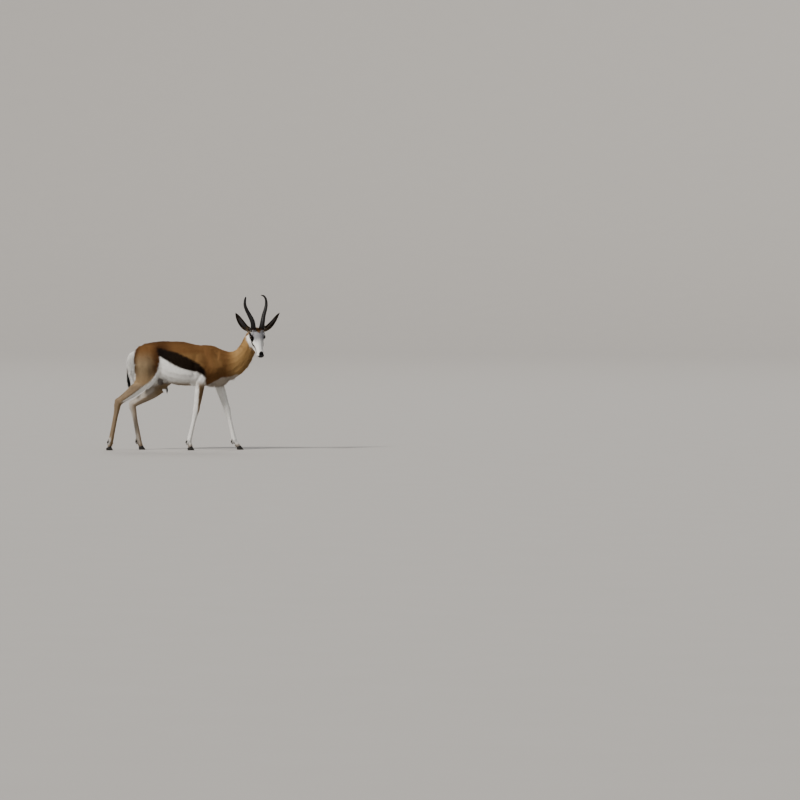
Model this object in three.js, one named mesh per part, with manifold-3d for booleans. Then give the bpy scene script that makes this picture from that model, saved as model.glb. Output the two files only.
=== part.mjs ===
// A springbok ram, life size, standing in mid-stride with its head turned to look out over its right side.
// Millimetres. +Z is up, the chest is towards +X, the animal's left is +Y, and the hooves stand on z = 0.

import * as THREE from "three";
import { mergeVertices } from "three/addons/utils/BufferGeometryUtils.js";
import Module from "manifold-3d";

const wasm = await Module();
wasm.setup();

// Driving dimensions

const WITHERS = 780; // height of the shoulder top above the ground
const RUMP_X = -470; // rearmost point of the trunk
const CHEST_X = 300; // foremost point of the trunk
const HEAD_YAW = 25; // degrees that the face is turned from straight out over the right side towards the chest
const HEAD_PITCH = 61; // degrees that the face line drops below level
const FACE_LENGTH = 157; // from the head's origin to the nose tip
const EYE_SPAN = 92; // between the centres of the eyeballs
const EYE_RADIUS = 15.5;
const EAR_LENGTH = 192;
const HORN_BASE = [23, 18]; // fore-and-aft and sideways radius of a horn where it leaves the skull
const FETLOCK_HEIGHT = 68;
const HOOF = { length: 48, width: 17.5, height: 34, cleft: 2.4 };
const GAP = 0.3; // between neighbouring solids
const FACET_ERROR = { barrel: 3, rest: 1.1 }; // how far the flesh may move to leave out small facets
const CENTRE_Y = -28; // middle of the model's width before it is moved to y = 0

const RIGHT = -1; // sign of y on the animal's right
const LEFT = 1;
const SIDES = [
  ["right", RIGHT],
  ["left", LEFT],
];

const UP = new THREE.Vector3(0, 0, 1);
const SIDEWAYS = new THREE.Vector3(0, 1, 0);
const rad = THREE.MathUtils.degToRad;

// Solids from geometry

// A closed three.js geometry as a solid, turned the right way out.
function solid(geometry) {
  const bare = new THREE.BufferGeometry();
  bare.setAttribute("position", geometry.getAttribute("position"));
  bare.setIndex(geometry.getIndex());
  const merged = mergeVertices(bare, 1e-4);
  const triVerts = new Uint32Array(merged.index.array);
  const vertProperties = new Float32Array(merged.attributes.position.array);
  const made = new wasm.Manifold(new wasm.Mesh({ numProp: 3, vertProperties, triVerts }));
  if (made.volume() >= 0) return made;
  for (let i = 0; i < triVerts.length; i += 3) {
    [triVerts[i + 1], triVerts[i + 2]] = [triVerts[i + 2], triVerts[i + 1]];
  }
  return new wasm.Manifold(new wasm.Mesh({ numProp: 3, vertProperties, triVerts }));
}

// A solid as a three.js geometry.
function geometryOf(made) {
  const { numProp, numVert, vertProperties, triVerts } = made.getMesh();
  const positions = new Float32Array(numVert * 3);
  for (let i = 0; i < numVert; i++) {
    positions.set(vertProperties.subarray(i * numProp, i * numProp + 3), i * 3);
  }
  const geometry = new THREE.BufferGeometry();
  geometry.setAttribute("position", new THREE.BufferAttribute(positions, 3));
  geometry.setIndex(new THREE.BufferAttribute(triVerts, 1));
  geometry.computeVertexNormals();
  return geometry;
}

// Rows of numbers filled in to `count` rows on a smooth curve.
function fillIn(rows, count) {
  const places = rows.map((_, i) => i);
  const curve = new THREE.CubicInterpolant(places, rows.flat(), rows[0].length);
  return Array.from({ length: count }, (_, i) =>
    Array.from(curve.evaluate(((rows.length - 1) * i) / (count - 1))),
  );
}

// One rounded outline: it reaches `ahead` and `behind` its centre along `axis`, and `side` to either hand
// along `across`. A power of 2 draws an ellipse, less a keel and more a box.
function outline({ centre, axis, across, ahead, behind, side, powers = [2, 2] }, corners) {
  return Array.from({ length: corners }, (_, i) => {
    const turn = (2 * Math.PI * i) / corners;
    const [c, s] = [Math.cos(turn), Math.sin(turn)];
    const power = 2 / (c > 0 ? powers[0] : powers[1]);
    const along = Math.sign(c) * Math.abs(c) ** power * (c > 0 ? ahead : behind);
    const out = Math.sign(s) * Math.abs(s) ** power * side;
    return centre.clone().addScaledVector(axis, along).addScaledVector(across, out);
  });
}

// The faces that close a ring with a fan about its middle point.
function fan(first, count, middle) {
  return Array.from({ length: count }, (_, i) => [first + i, first + ((i + 1) % count), middle]);
}

// The faces that close a ring which runs out along one face of a leaf and back along the other.
function strip(first, count) {
  return Array.from({ length: count / 2 - 1 }, (_, i) => {
    const [a, b] = [first + i, first + i + 1];
    const [c, d] = [first + count - 2 - i, first + count - 1 - i];
    return [a, b, c, a, c, d];
  });
}

// A solid skinned over rings of equal size, its two ends closed.
function loft(rings, close = fan) {
  const count = rings[0].length;
  const ends = [rings[0], rings[rings.length - 1]].map((ring) =>
    ring.reduce((sum, point) => sum.add(point), new THREE.Vector3()).divideScalar(count),
  );
  const points = rings.flat();
  const start = points.length;
  const faces = [];
  for (let first = 0; first + count < start; first += count) {
    for (let i = 0; i < count; i++) {
      const [a, b] = [first + i, first + ((i + 1) % count)];
      faces.push([a, b, b + count], [a, b + count, a + count]);
    }
  }
  faces.push(...close(0, count, start).map((corners) => corners.toReversed()));
  faces.push(...close(start - count, count, start + 1));
  const used = close === fan ? [...points, ...ends] : points;
  const geometry = new THREE.BufferGeometry();
  const positions = used.flatMap((point) => point.toArray());
  geometry.setAttribute("position", new THREE.Float32BufferAttribute(positions, 3));
  geometry.setIndex(faces.flat());
  return solid(geometry);
}

// An ellipsoid placed and measured in the axes of a frame.
function lump(frame, at, radii, detail = 8) {
  const geometry = new THREE.SphereGeometry(1, detail, Math.round(detail * 0.7));
  geometry.scale(...radii);
  geometry.translate(...at);
  geometry.applyMatrix4(frame);
  return solid(geometry);
}

function join(solids) {
  return solids.reduce((whole, next) => whole.add(next));
}

// A block that covers everything on the far side of a plane.
function beyond(point, normal) {
  const size = 2600;
  const geometry = new THREE.BoxGeometry(size, size, size);
  geometry.translate(0, 0, size / 2);
  geometry.applyQuaternion(new THREE.Quaternion().setFromUnitVectors(UP, normal));
  geometry.translate(point.x, point.y, point.z);
  return solid(geometry);
}

// Parts a solid at a plane and leaves the gap between the two pieces: [before the plane, beyond it].
function part(whole, point, direction) {
  const normal = direction.clone().normalize();
  const half = normal.clone().multiplyScalar(GAP / 2);
  return [
    whole.subtract(beyond(point.clone().sub(half), normal)),
    whole.intersect(beyond(point.clone().add(half), normal)),
  ];
}

// How far a ring is pushed out along its run when a solid grows: only the first and the last move.
const endShift = (i, count, grow) => (i === 0 ? -grow : i === count - 1 ? grow : 0);

// A tube of rounded outlines strung on a smooth line. Each station holds x, y, z, how far the outline
// reaches ahead and behind, and half its width.
function limb(stations, count, corners, grow = 0) {
  const rows = fillIn(stations, count);
  const points = rows.map(([x, y, z]) => new THREE.Vector3(x, y, z));
  const rings = rows.map(([, , , ahead, behind, side], i) => {
    const before = points[Math.max(i - 1, 0)];
    const after = points[Math.min(i + 1, count - 1)];
    const along = after.clone().sub(before).normalize();
    const across = SIDEWAYS.clone().addScaledVector(along, -along.y).normalize();
    return outline(
      {
        centre: points[i].clone().addScaledVector(along, endShift(i, count, grow)),
        axis: along.clone().cross(across),
        across,
        ahead: ahead + grow,
        behind: behind + grow,
        side: side + grow,
      },
      corners,
    );
  });
  return loft(rings);
}

// Trunk

// x, top, bottom, half width, height of the widest level, power above and below that level
const TRUNK = [
  [RUMP_X - 3, 664, 642, 8, 652, 2.0, 2.0],
  [-467, 686, 622, 28, 654, 2.0, 2.0],
  [-448, 720, 601, 50, 664, 1.9, 2.0],
  [-400, 758, 575, 73, 680, 1.8, 2.0],
  [-352, 786, 562, 86, 690, 1.75, 2.0],
  [-278, 800, 546, 93, 680, 1.7, 2.1],
  [-218, 805, 522, 101, 655, 1.75, 2.2],
  [-150, 807, 487, 113, 630, 1.9, 2.25],
  [-70, 805, 476, 120, 612, 1.95, 2.25],
  [0, 789, 475, 116, 608, 1.85, 2.15],
  [50, 779, 475, 106, 612, 1.65, 2.05],
  [110, WITHERS, 471, 95, 620, 1.5, 1.9],
  [160, 773, 468, 88, 618, 1.5, 1.8],
  [205, 752, 470, 80, 612, 1.7, 1.8],
  [245, 735, 487, 68, 612, 1.9, 1.9],
  [275, 708, 512, 51, 612, 2.0, 2.0],
  [293, 668, 545, 31, 607, 2.0, 2.0],
  [CHEST_X, 625, 588, 10, 606, 2.0, 2.0],
];

function trunk() {
  const rings = fillIn(TRUNK, 26).map(([x, top, bottom, side, level, above, below]) =>
    outline(
      {
        centre: new THREE.Vector3(x, 0, level),
        axis: UP,
        across: SIDEWAYS,
        ahead: top - level,
        behind: level - bottom,
        side,
        powers: [above, below],
      },
      20,
    ),
  );
  const body = new THREE.Matrix4();
  const scrotum = lump(body, [-236, 0, 510], [22, 15.5, 34]);
  const sheath = lump(body, [-190, 0, 486], [34, 12, 14], 8);
  const sheathTuft = lump(body, [-187, 0, 462], [8, 7, 34], 8);
  return join([loft(rings), scrotum, sheath, sheathTuft]);
}

// Neck: x, y, z, reach to the nape, reach to the throat, half width
const NECK = [
  [195, 0, 645, 104, 150, 80],
  [262, 0, 638, 97, 128, 70],
  [316, -2, 655, 85, 104, 60],
  [360, -8, 688, 70, 84, 52],
  [393, -15, 730, 60, 69, 47],
  [418, -23, 780, 55, 65, 44],
  [438, -30, 828, 50, 53, 42],
  [455, -36, 866, 38, 42, 34],
];

// Head. Its own axes run along the face to the nose, to the animal's left and out of the forehead, from
// the point midway between the eyes.

const facing = new THREE.Vector3(Math.sin(rad(HEAD_YAW)), -Math.cos(rad(HEAD_YAW)), 0);
const noseward = facing
  .clone()
  .multiplyScalar(Math.cos(rad(HEAD_PITCH)))
  .addScaledVector(UP, -Math.sin(rad(HEAD_PITCH)));
const leftward = new THREE.Vector3(-facing.y, facing.x, 0);
const browward = noseward.clone().cross(leftward);
const HEAD = new THREE.Matrix4().makeBasis(noseward, leftward, browward).setPosition(485.5, -103, 829);

const inHead = (along, left, up) => new THREE.Vector3(along, left, up).applyMatrix4(HEAD);

// distance towards the nose, forehead line, jaw line, half width, widest level, power above and below
const SKULL = [
  [-93, -6, -40, 16, -23, 2.0, 2.0],
  [-84, 12, -62, 35, -22, 2.0, 2.0],
  [-66, 30, -80, 47, -16, 2.1, 2.0],
  [-42, 40, -91, 50, -12, 2.2, 2.0],
  [-12, 44, -93, 50.5, -13, 2.3, 2.0],
  [14, 41, -90, 47, -16, 2.2, 2.0],
  [40, 34, -83, 40, -20, 2.1, 2.0],
  [66, 27, -73, 34, -21, 2.1, 2.1],
  [92, 21, -62, 28.5, -19, 2.2, 2.1],
  [112, 17, -51, 26, -15, 2.4, 2.2],
  [127, 13, -43, 25, -13, 2.4, 2.2],
  [139, 9, -34, 21.5, -12, 2.3, 2.2],
  [150, 4, -25, 17.5, -10, 2.2, 2.0],
  [FACE_LENGTH, -4, -15, 9, -9, 2.0, 2.0],
];

function head() {
  const rings = fillIn(SKULL, 16).map(([along, top, bottom, side, level, above, below]) =>
    outline(
      {
        centre: inHead(along, 0, level),
        axis: browward,
        across: leftward,
        ahead: top - level,
        behind: level - bottom,
        side,
        powers: [above, below],
      },
      16,
    ),
  );
  const muscles = SIDES.flatMap(([, hand]) => [
    lump(HEAD, [-18, hand * 41, 13], [27, 19.5, 20]), // brow
    lump(HEAD, [16, hand * 36, -20], [48, 13, 20]), // cheekbone
    lump(HEAD, [-18, hand * 32, -54], [42, 13, 34]), // jaw muscle
    lump(HEAD, [-58, hand * 31, 34], [24, 18, 17]), // horn seat
    lump(HEAD, [142, hand * 12, -2], [13, 11, 10]), // nostril wing
  ]);
  const chin = lump(HEAD, [124, 0, -40], [20, 15, 11]);
  const hollows = SIDES.flatMap(([, hand]) => [
    lump(HEAD, [-8, hand * 67, 3], [17, 12, 11]), // opening between the lids
    lump(HEAD, [154, hand * 12, 0], [8, 3.5, 6], 6), // nostril
  ]);
  return join([loft(rings), ...muscles, chin]).subtract(join(hollows));
}

function eye(hand, grow = 0) {
  const radius = EYE_RADIUS + grow;
  return lump(HEAD, [-8, (hand * EYE_SPAN) / 2, 3], [radius, radius, radius], 10);
}

// Ears: a leaf rolled into a cup, open towards the front.

// share of the length, half width, and half the angle that the leaf wraps
const EAR = [
  [0, 13, 2.5],
  [0.12, 17.5, 2.2],
  [0.28, 22.5, 1.75],
  [0.45, 25, 1.4],
  [0.62, 23.5, 1.15],
  [0.78, 18.5, 1.0],
  [0.91, 11, 0.95],
  [1, 2.5, 0.9],
];
const EAR_ROOT = [-65, 45, -8]; // in the head's axes, with the left taken as outwards
const EAR_REACH = [-98, 131, 98]; // the way from root to tip
const EAR_WALL = 3.2;
const EAR_BOW = 14; // how far its middle bends down and outwards
const EAR_EDGE_POINTS = 6;

function ear(hand, grow = 0) {
  const outwards = ([along, out, up]) => [along, hand * out, up];
  const root = inHead(...outwards(EAR_ROOT));
  const run = noseward.clone().multiplyScalar(EAR_REACH[0]);
  run.addScaledVector(leftward, hand * EAR_REACH[1]).addScaledVector(browward, EAR_REACH[2]);
  run.normalize();
  const opening = facing.clone().multiplyScalar(0.9).addScaledVector(leftward, hand * 0.5);
  opening.addScaledVector(UP, -0.2);
  opening.addScaledVector(run, -opening.dot(run)).normalize();
  const across = run.clone().cross(opening);
  const bow = noseward.clone().multiplyScalar(0.8).addScaledVector(leftward, hand * 0.6);
  const count = 8;
  const rings = fillIn(EAR, count).map(([share, half, wrap], ring) => {
    const radius = half / Math.sin(Math.min(wrap, Math.PI / 2));
    const wall = Math.min(EAR_WALL, radius * 0.5);
    const spine = root
      .clone()
      .addScaledVector(run, share * EAR_LENGTH + endShift(ring, count, grow))
      .addScaledVector(bow, EAR_BOW * Math.sin(Math.PI * share))
      .addScaledVector(opening, -radius / 2);
    const edge = (size, direction) =>
      Array.from({ length: EAR_EDGE_POINTS }, (_, i) => {
        const turn = direction * (wrap + grow / radius) * ((2 * i) / (EAR_EDGE_POINTS - 1) - 1);
        return spine
          .clone()
          .addScaledVector(opening, radius - size * Math.cos(turn))
          .addScaledVector(across, size * Math.sin(turn));
      });
    return [...edge(radius + grow, 1), ...edge(radius - wall - grow, -1)];
  });
  return loft(rings, strip);
}

// Horns: lyre-shaped and ringed, their tips hooked in and back.

// distance towards the nose, from the midline and out of the forehead, and share of the base thickness
const HORN = [
  [-61, 31, 24, 1.0],
  [-74, 34, 39, 1.0],
  [-94, 38, 53, 0.96],
  [-118, 44, 62, 0.9],
  [-158, 58, 67, 0.8],
  [-196, 75, 76, 0.7],
  [-232, 86, 87, 0.59],
  [-265, 85, 101, 0.48],
  [-289, 76, 102, 0.36],
  [-301, 67, 90, 0.22],
  [-306, 62, 80, 0.09],
];
const RINGED = [1.4, 6.6]; // the stations between which a horn is ringed
const RING_DEPTH = 0.03;
const TIP_SKEW = 12; // the left tip stands this much higher than an even pair's and the right tip less

function horn(hand, grow = 0) {
  const count = 26;
  const rows = fillIn(HORN, count);
  const points = rows.map(([along, out, up], i) =>
    inHead(along - hand * TIP_SKEW * (i / (count - 1)) ** 3, hand * out, up),
  );
  const rings = rows.map(([, , , share], i) => {
    const before = points[Math.max(i - 1, 0)];
    const after = points[Math.min(i + 1, count - 1)];
    const along = after.clone().sub(before).normalize();
    const across = leftward.clone().addScaledVector(along, -leftward.dot(along)).normalize();
    const station = ((HORN.length - 1) * i) / (count - 1);
    const ringed = station > RINGED[0] && station < RINGED[1] ? RING_DEPTH : 0;
    const size = share * (1 + ringed * (i % 2 === 0 ? 1 : -1));
    return outline(
      {
        centre: points[i].clone().addScaledVector(along, endShift(i, count, grow)),
        axis: along.clone().cross(across),
        across,
        ahead: HORN_BASE[0] * size + grow,
        behind: HORN_BASE[0] * size + grow,
        side: HORN_BASE[1] * size + grow,
      },
      8,
    );
  });
  return loft(rings);
}

// Tail, hanging down the rump, with a long thin tuft
const TAIL = [
  [-436, 0, 706, 16, 18, 15],
  [-458, 0, 690, 15, 16, 15],
  [-471, 0, 662, 11, 12, 14],
  [-477, 0, 620, 8, 9, 12],
  [-477, 0, 570, 7, 8, 10],
  [-475, 0, 530, 8, 8, 9],
  [-471, 0, 500, 9, 9, 9],
  [-465, 0, 474, 7, 7, 7],
  [-461, 0, 456, 2, 2, 2],
];

// Legs

// height, rear x, front x, distance from the midline and half thickness of the thigh
const THIGH = [
  [772, -392, -300, 26, 28],
  [742, -428, -262, 36, 42],
  [700, -455, -240, 44, 50],
  [650, -461, -233, 50, 52],
  [600, -460, -232, 55, 47],
  [555, -448, -242, 59, 40],
  [515, -436, -261, 62, 34],
  [480, -428, -290, 64, 28],
  [452, -416, -322, 65, 19],
];

// the same of the shoulder and upper arm
const SHOULDER = [
  [752, 84, 160, 26, 20],
  [715, 70, 190, 38, 31],
  [665, 60, 222, 49, 38],
  [615, 48, 238, 57, 41],
  [572, 34, 212, 62, 39],
  [538, 26, 160, 65, 35],
  [508, 27, 112, 66, 30],
  [476, 31, 96, 66, 25],
];

// Below the stifle a hind leg stands on four joints: stifle, hock, fetlock and coronet. Rows hold the share
// of the way from joint to joint (0 stifle, 1 hock, 2 fetlock, 3 coronet), reach ahead and behind, half width.
const HIND_SHANK = [
  [0, 44, 50, 30],
  [0.25, 46, 54, 30],
  [0.47, 42, 45, 27],
  [0.69, 34, 37, 23],
  [0.88, 29, 34, 19],
  [1.02, 28, 33, 18.5],
  [1.16, 23.5, 23, 15.5],
  [1.35, 19, 19.5, 13.5],
  [1.6, 18, 18.5, 13],
  [1.85, 18.5, 19.5, 14],
  [2, 20, 23, 16],
  [2.35, 17, 18.5, 14],
  [2.75, 17.5, 16, 15.5],
  [3, 16.5, 14.5, 16.5],
];

// A foreleg likewise, with the elbow in place of the stifle and the knee of the hock.
const FORE_SHANK = [
  [0, 38, 40, 28],
  [0.24, 35, 38, 26],
  [0.54, 30, 32, 22],
  [0.78, 25.5, 27, 19],
  [0.97, 24.5, 24.5, 19],
  [1.12, 20, 22, 16],
  [1.35, 16, 18, 13.5],
  [1.65, 15.5, 18, 13],
  [1.86, 17, 19.5, 14.5],
  [2, 18.5, 22, 16.5],
  [2.35, 16, 18, 14],
  [2.75, 17, 16, 15.5],
  [3, 16.5, 14.5, 16.5],
];

const HIND = {
  slices: THIGH,
  girths: HIND_SHANK,
  swingFrom: 700, // height where the forward swing begins, height where it is whole, and how it builds up
  swingTo: 480,
  swingPower: 1.2,
  blockTop: 545,
  blockInner: 17,
};
const FORE = {
  slices: SHOULDER,
  girths: FORE_SHANK,
  swingFrom: 660,
  swingTo: 490,
  swingPower: 1,
  blockTop: 541,
  blockInner: 28,
};

// Each leg: how far its upper part swings forward of a square stance, its joints as x, distance from the
// midline and height, how far the claws stand ahead of the coronet, how far they turn out in degrees, and
// the rear and front of the block that parts it from the trunk.
const LEGS = {
  hindleg_right: {
    ...HIND,
    hand: RIGHT,
    swing: 0,
    joints: [
      [-352, 64, 498],
      [-546, 60, 354],
      [-601, 58, FETLOCK_HEIGHT],
      [-614, 58, 26],
    ],
    reach: 3,
    toeOut: 4,
    block: [-700, -240],
    blockTop: 530,
  },
  hindleg_left: {
    ...HIND,
    hand: LEFT,
    swing: 108,
    joints: [
      [-236, 66, 462],
      [-448, 60, 334],
      [-399, 58, FETLOCK_HEIGHT],
      [-386, 58, 26],
    ],
    reach: 10,
    toeOut: 6,
    block: [-620, -160],
  },
  foreleg_right: {
    ...FORE,
    hand: RIGHT,
    swing: 0,
    joints: [
      [66, 66, 512],
      [29, 62, 288],
      [-22, 57, FETLOCK_HEIGHT],
      [-14, 57, 26],
    ],
    reach: 5,
    toeOut: 4,
    block: [-80, 190],
  },
  foreleg_left: {
    ...FORE,
    hand: LEFT,
    swing: 128,
    joints: [
      [190, 66, 500],
      [257, 61, 290],
      [309, 57, FETLOCK_HEIGHT],
      [338, 57, 26],
    ],
    reach: 14,
    toeOut: 6,
    block: [95, 440],
  },
};
const FETLOCK_ROW = 9; // of both tables of girths

// A broad flat muscle, the thigh or the shoulder, in level slices.
function muscle({ slices, swingFrom, swingTo, swingPower, swing, hand }) {
  const rings = fillIn(slices, 8).map(([z, rear, front, out, half]) => {
    const share = THREE.MathUtils.clamp((swingFrom - z) / (swingFrom - swingTo), 0, 1.15);
    return outline(
      {
        centre: new THREE.Vector3((rear + front) / 2 + swing * share ** swingPower, hand * out, z),
        axis: new THREE.Vector3(1, 0, 0),
        across: SIDEWAYS,
        ahead: (front - rear) / 2,
        behind: (front - rear) / 2,
        side: half,
      },
      14,
    );
  });
  return loft(rings);
}

function shank(leg) {
  const stations = leg.girths.map(([place, ahead, behind, side]) => {
    const joint = Math.min(Math.floor(place), leg.joints.length - 2);
    const at = atJoint(leg, joint).lerp(atJoint(leg, joint + 1), place - joint);
    return [...at.toArray(), ahead, behind, side];
  });
  return limb(stations, 20, 9);
}

function atJoint({ joints, hand }, i) {
  const [x, out, z] = joints[i];
  return new THREE.Vector3(x, hand * out, z);
}

// The plane of the coronet, where the claws meet the foot, is higher over the toe than over the heel.
const CORONET_TILT = new THREE.Vector3(-0.36, 0, 1).normalize();

// One claw of a hoof, level slices from the flat sole up, trimmed at the coronet.
function claw(leg, side) {
  const turn = rad(leg.toeOut) * leg.hand;
  const ahead = new THREE.Vector3(Math.cos(turn), Math.sin(turn), 0);
  const across = new THREE.Vector3(-ahead.y, ahead.x, 0);
  const coronet = atJoint(leg, 3);
  const half = HOOF.width / 2;
  // share of the height, heel and toe as shares of the length, share of the half width, lean to the cleft,
  // and share of the forward reach
  const slices = [
    [0, -0.48, 0.52, 1, 0, 1],
    [0.25, -0.5, 0.46, 1, 0.1, 0.85],
    [0.6, -0.44, 0.34, 0.95, 0.6, 0.5],
    [1.1, -0.34, 0.25, 0.84, 1.4, 0],
  ];
  const rings = slices.map(([height, heel, toe, wide, lean, forward]) =>
    outline(
      {
        centre: coronet
          .clone()
          .setZ(height * HOOF.height)
          .addScaledVector(ahead, ((heel + toe) / 2) * HOOF.length + leg.reach * forward)
          .addScaledVector(across, side * (half + HOOF.cleft / 2 - lean)),
        axis: ahead,
        across,
        ahead: ((toe - heel) / 2) * HOOF.length,
        behind: ((toe - heel) / 2) * HOOF.length,
        side: half * wide,
        powers: [1.6, 2.4],
      },
      10,
    ),
  );
  return part(loft(rings), coronet, CORONET_TILT)[0];
}

// distance behind the back of the fetlock, height above it, thickness and width of a dewclaw
const DEWCLAW = [
  [-4, -3, 6, 5.5],
  [2, -9, 5.5, 5],
  [7, -16, 2.2, 2.2],
];

function dewclaw(leg, side, grow = 0) {
  const fetlock = atJoint(leg, 2);
  const back = fetlock.x - leg.girths[FETLOCK_ROW][2];
  const stations = DEWCLAW.map(([behind, above, thick, wide]) => [
    back - behind,
    fetlock.y + side * 9,
    fetlock.z + above,
    thick,
    thick,
    wide,
  ]);
  return limb(stations, 3, 7, grow);
}

// Parting the body

// A block that takes a leg away from the trunk beside it.
function legBlock({ hand, block, blockTop, blockInner }, grow = 0) {
  const [rear, front] = block;
  const [low, high] = [-20, blockTop + grow];
  const width = 200;
  const geometry = new THREE.BoxGeometry(front - rear + 2 * grow, width, high - low);
  geometry.translate((front + rear) / 2, hand * (blockInner - grow + width / 2), (high + low) / 2);
  return solid(geometry);
}

const NECK_CUT = { point: new THREE.Vector3(288, 0, 640), normal: new THREE.Vector3(0.93, 0, 0.36) };
const HEAD_CUT = { point: inHead(-40, 0, -76), normal: new THREE.Vector3(0.3, -0.8, 0.35) };
const OVER_THE_LEGS = new THREE.Vector3(0, 0, 480); // the neck's plane parts only what is above this

const COLOURS = {
  brown_coat: { color: 0xa8763f, roughness: 0.85 },
  white_coat: { color: 0xd9d4c8, roughness: 0.85 },
  horn: { color: 0x1f1b18, roughness: 0.5 },
  hoof: { color: 0x1c1917, roughness: 0.55 },
  eye: { color: 0x0d0a08, roughness: 0.15 },
};

const springbok = new THREE.Group();
springbok.name = "springbok";
springbok.position.y = -CENTRE_Y;

function place(name, made, look) {
  const pieces = made.decompose();
  if (pieces.length !== 1) throw new Error(`${name} is in ${pieces.length} pieces`);
  const material = new THREE.MeshStandardMaterial({ ...COLOURS[look], metalness: 0 });
  material.name = look;
  const mesh = new THREE.Mesh(geometryOf(made), material);
  mesh.name = name;
  springbok.add(mesh);
}

// What stands in the flesh, as it is or grown to cut its socket.
function inserts(grow) {
  const made = [["tail", limb(TAIL, 13, 8, grow), "white_coat"]];
  for (const [side, hand] of SIDES) {
    made.push([`ear_${side}`, ear(hand, grow), "white_coat"]);
    made.push([`eye_${side}`, eye(hand, grow), "eye"]);
    made.push([`horn_${side}`, horn(hand, grow), "horn"]);
    for (const [name, leg] of Object.entries(LEGS)) {
      made.push([`${name}_dewclaw_${side}`, dewclaw(leg, hand, grow), "hoof"]);
    }
  }
  return made;
}

const legs = Object.values(LEGS);
const sockets = join(inserts(GAP).map(([, made]) => made));
const barrel = join([trunk(), ...legs.map(muscle)]).simplify(FACET_ERROR.barrel);
const flesh = join([barrel, limb(NECK, 11, 16), head(), ...legs.map(shank)])
  .simplify(FACET_ERROR.rest)
  .subtract(sockets);

const high = beyond(OVER_THE_LEGS, UP);
const [, neckAndHead] = part(flesh.intersect(high), NECK_CUT.point, NECK_CUT.normal);
const [neckPiece, headPiece] = part(neckAndHead, HEAD_CUT.point, HEAD_CUT.normal);
const neckward = NECK_CUT.normal.clone().normalize();
const pastTheGap = NECK_CUT.point.clone().addScaledVector(neckward, -GAP / 2);
let rest = flesh.subtract(beyond(pastTheGap, neckward).intersect(high));

place("head", headPiece, "white_coat");
place("neck", neckPiece, "brown_coat");
for (const [name, made, look] of inserts(0)) place(name, made, look);

for (const [name, leg] of Object.entries(LEGS)) {
  const whole = rest.intersect(legBlock(leg));
  rest = rest.subtract(legBlock(leg, GAP));
  const down = (i) => atJoint(leg, i).sub(atJoint(leg, i - 1)).normalize();
  const [upper, lower] = part(whole, atJoint(leg, 1), down(1).add(down(2)));
  const [cannon, foot] = part(lower, atJoint(leg, 2), down(2).add(down(3)));
  const pastern = part(foot, atJoint(leg, 3), CORONET_TILT)[1];
  place(`${name}_upper`, upper, "brown_coat");
  place(`${name}_cannon`, cannon, "white_coat");
  place(`${name}_foot`, pastern, "white_coat");
  for (const [side, hand] of SIDES) place(`${name}_hoof_${side}`, claw(leg, hand), "hoof");
}
place("trunk", rest, "brown_coat");

export default springbok;
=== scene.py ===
"""A springbok ram in mid-stride, its head turned to look out over its right side.

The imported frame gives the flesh, horns, hooves and eyes at their real size. One skin is grown from the
flesh nodes and carries the markings, and a coat of solid tufts lies over it. Lengths in the tables are
in millimetres, with the left as +y from the animal's midline. Blender's own lengths are in metres.
"""

import math

import bmesh
import bpy
import numpy as np
from bpy.props import FloatProperty, FloatVectorProperty, IntProperty, PointerProperty
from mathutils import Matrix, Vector


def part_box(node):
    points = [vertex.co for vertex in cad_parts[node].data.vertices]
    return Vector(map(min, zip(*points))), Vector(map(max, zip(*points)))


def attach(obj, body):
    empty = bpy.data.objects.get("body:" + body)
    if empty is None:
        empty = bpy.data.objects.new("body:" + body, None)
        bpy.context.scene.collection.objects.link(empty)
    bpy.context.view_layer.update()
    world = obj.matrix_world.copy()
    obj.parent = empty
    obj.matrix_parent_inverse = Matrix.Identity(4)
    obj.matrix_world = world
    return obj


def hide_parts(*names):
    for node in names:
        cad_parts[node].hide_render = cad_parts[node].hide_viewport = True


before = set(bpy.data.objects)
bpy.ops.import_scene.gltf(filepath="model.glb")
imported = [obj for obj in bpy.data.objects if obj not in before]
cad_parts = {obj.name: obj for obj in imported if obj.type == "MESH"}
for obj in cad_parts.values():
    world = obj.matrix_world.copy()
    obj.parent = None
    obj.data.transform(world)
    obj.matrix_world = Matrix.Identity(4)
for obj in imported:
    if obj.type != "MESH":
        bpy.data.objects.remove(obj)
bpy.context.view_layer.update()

bl_info = {
    "name": "Springbok ram",
    "version": (1, 0, 0),
    "blender": (4, 5, 0),
    "location": "3D View > Sidebar > Springbok",
    "description": "Builds a life-size springbok ram with a skin, a coat of tufts, horns, hooves and eyes",
    "category": "Object",
}

MM = 0.001
TRUNK_LOW, TRUNK_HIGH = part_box("trunk")
MIDLINE = (TRUNK_LOW.y + TRUNK_HIGH.y) / 2
SIDES = (("right", -1), ("left", 1))
HANDS = (-1, 1)

# Axes of the head: along the face to the nose, to the animal's left, and out of the forehead
HEAD_YAW = math.radians(25)
HEAD_PITCH = math.radians(61)
FACING = np.array([math.sin(HEAD_YAW), -math.cos(HEAD_YAW), 0.0])
NOSEWARD = FACING * math.cos(HEAD_PITCH) + np.array([0.0, 0.0, -math.sin(HEAD_PITCH)])
LEFTWARD = np.array([-FACING[1], FACING[0], 0.0])
BROWWARD = np.cross(NOSEWARD, LEFTWARD)
HEAD_AXES = np.array([NOSEWARD, LEFTWARD, BROWWARD])
HEAD_ORIGIN = np.array([485.5, -103.0, 829.0])

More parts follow.
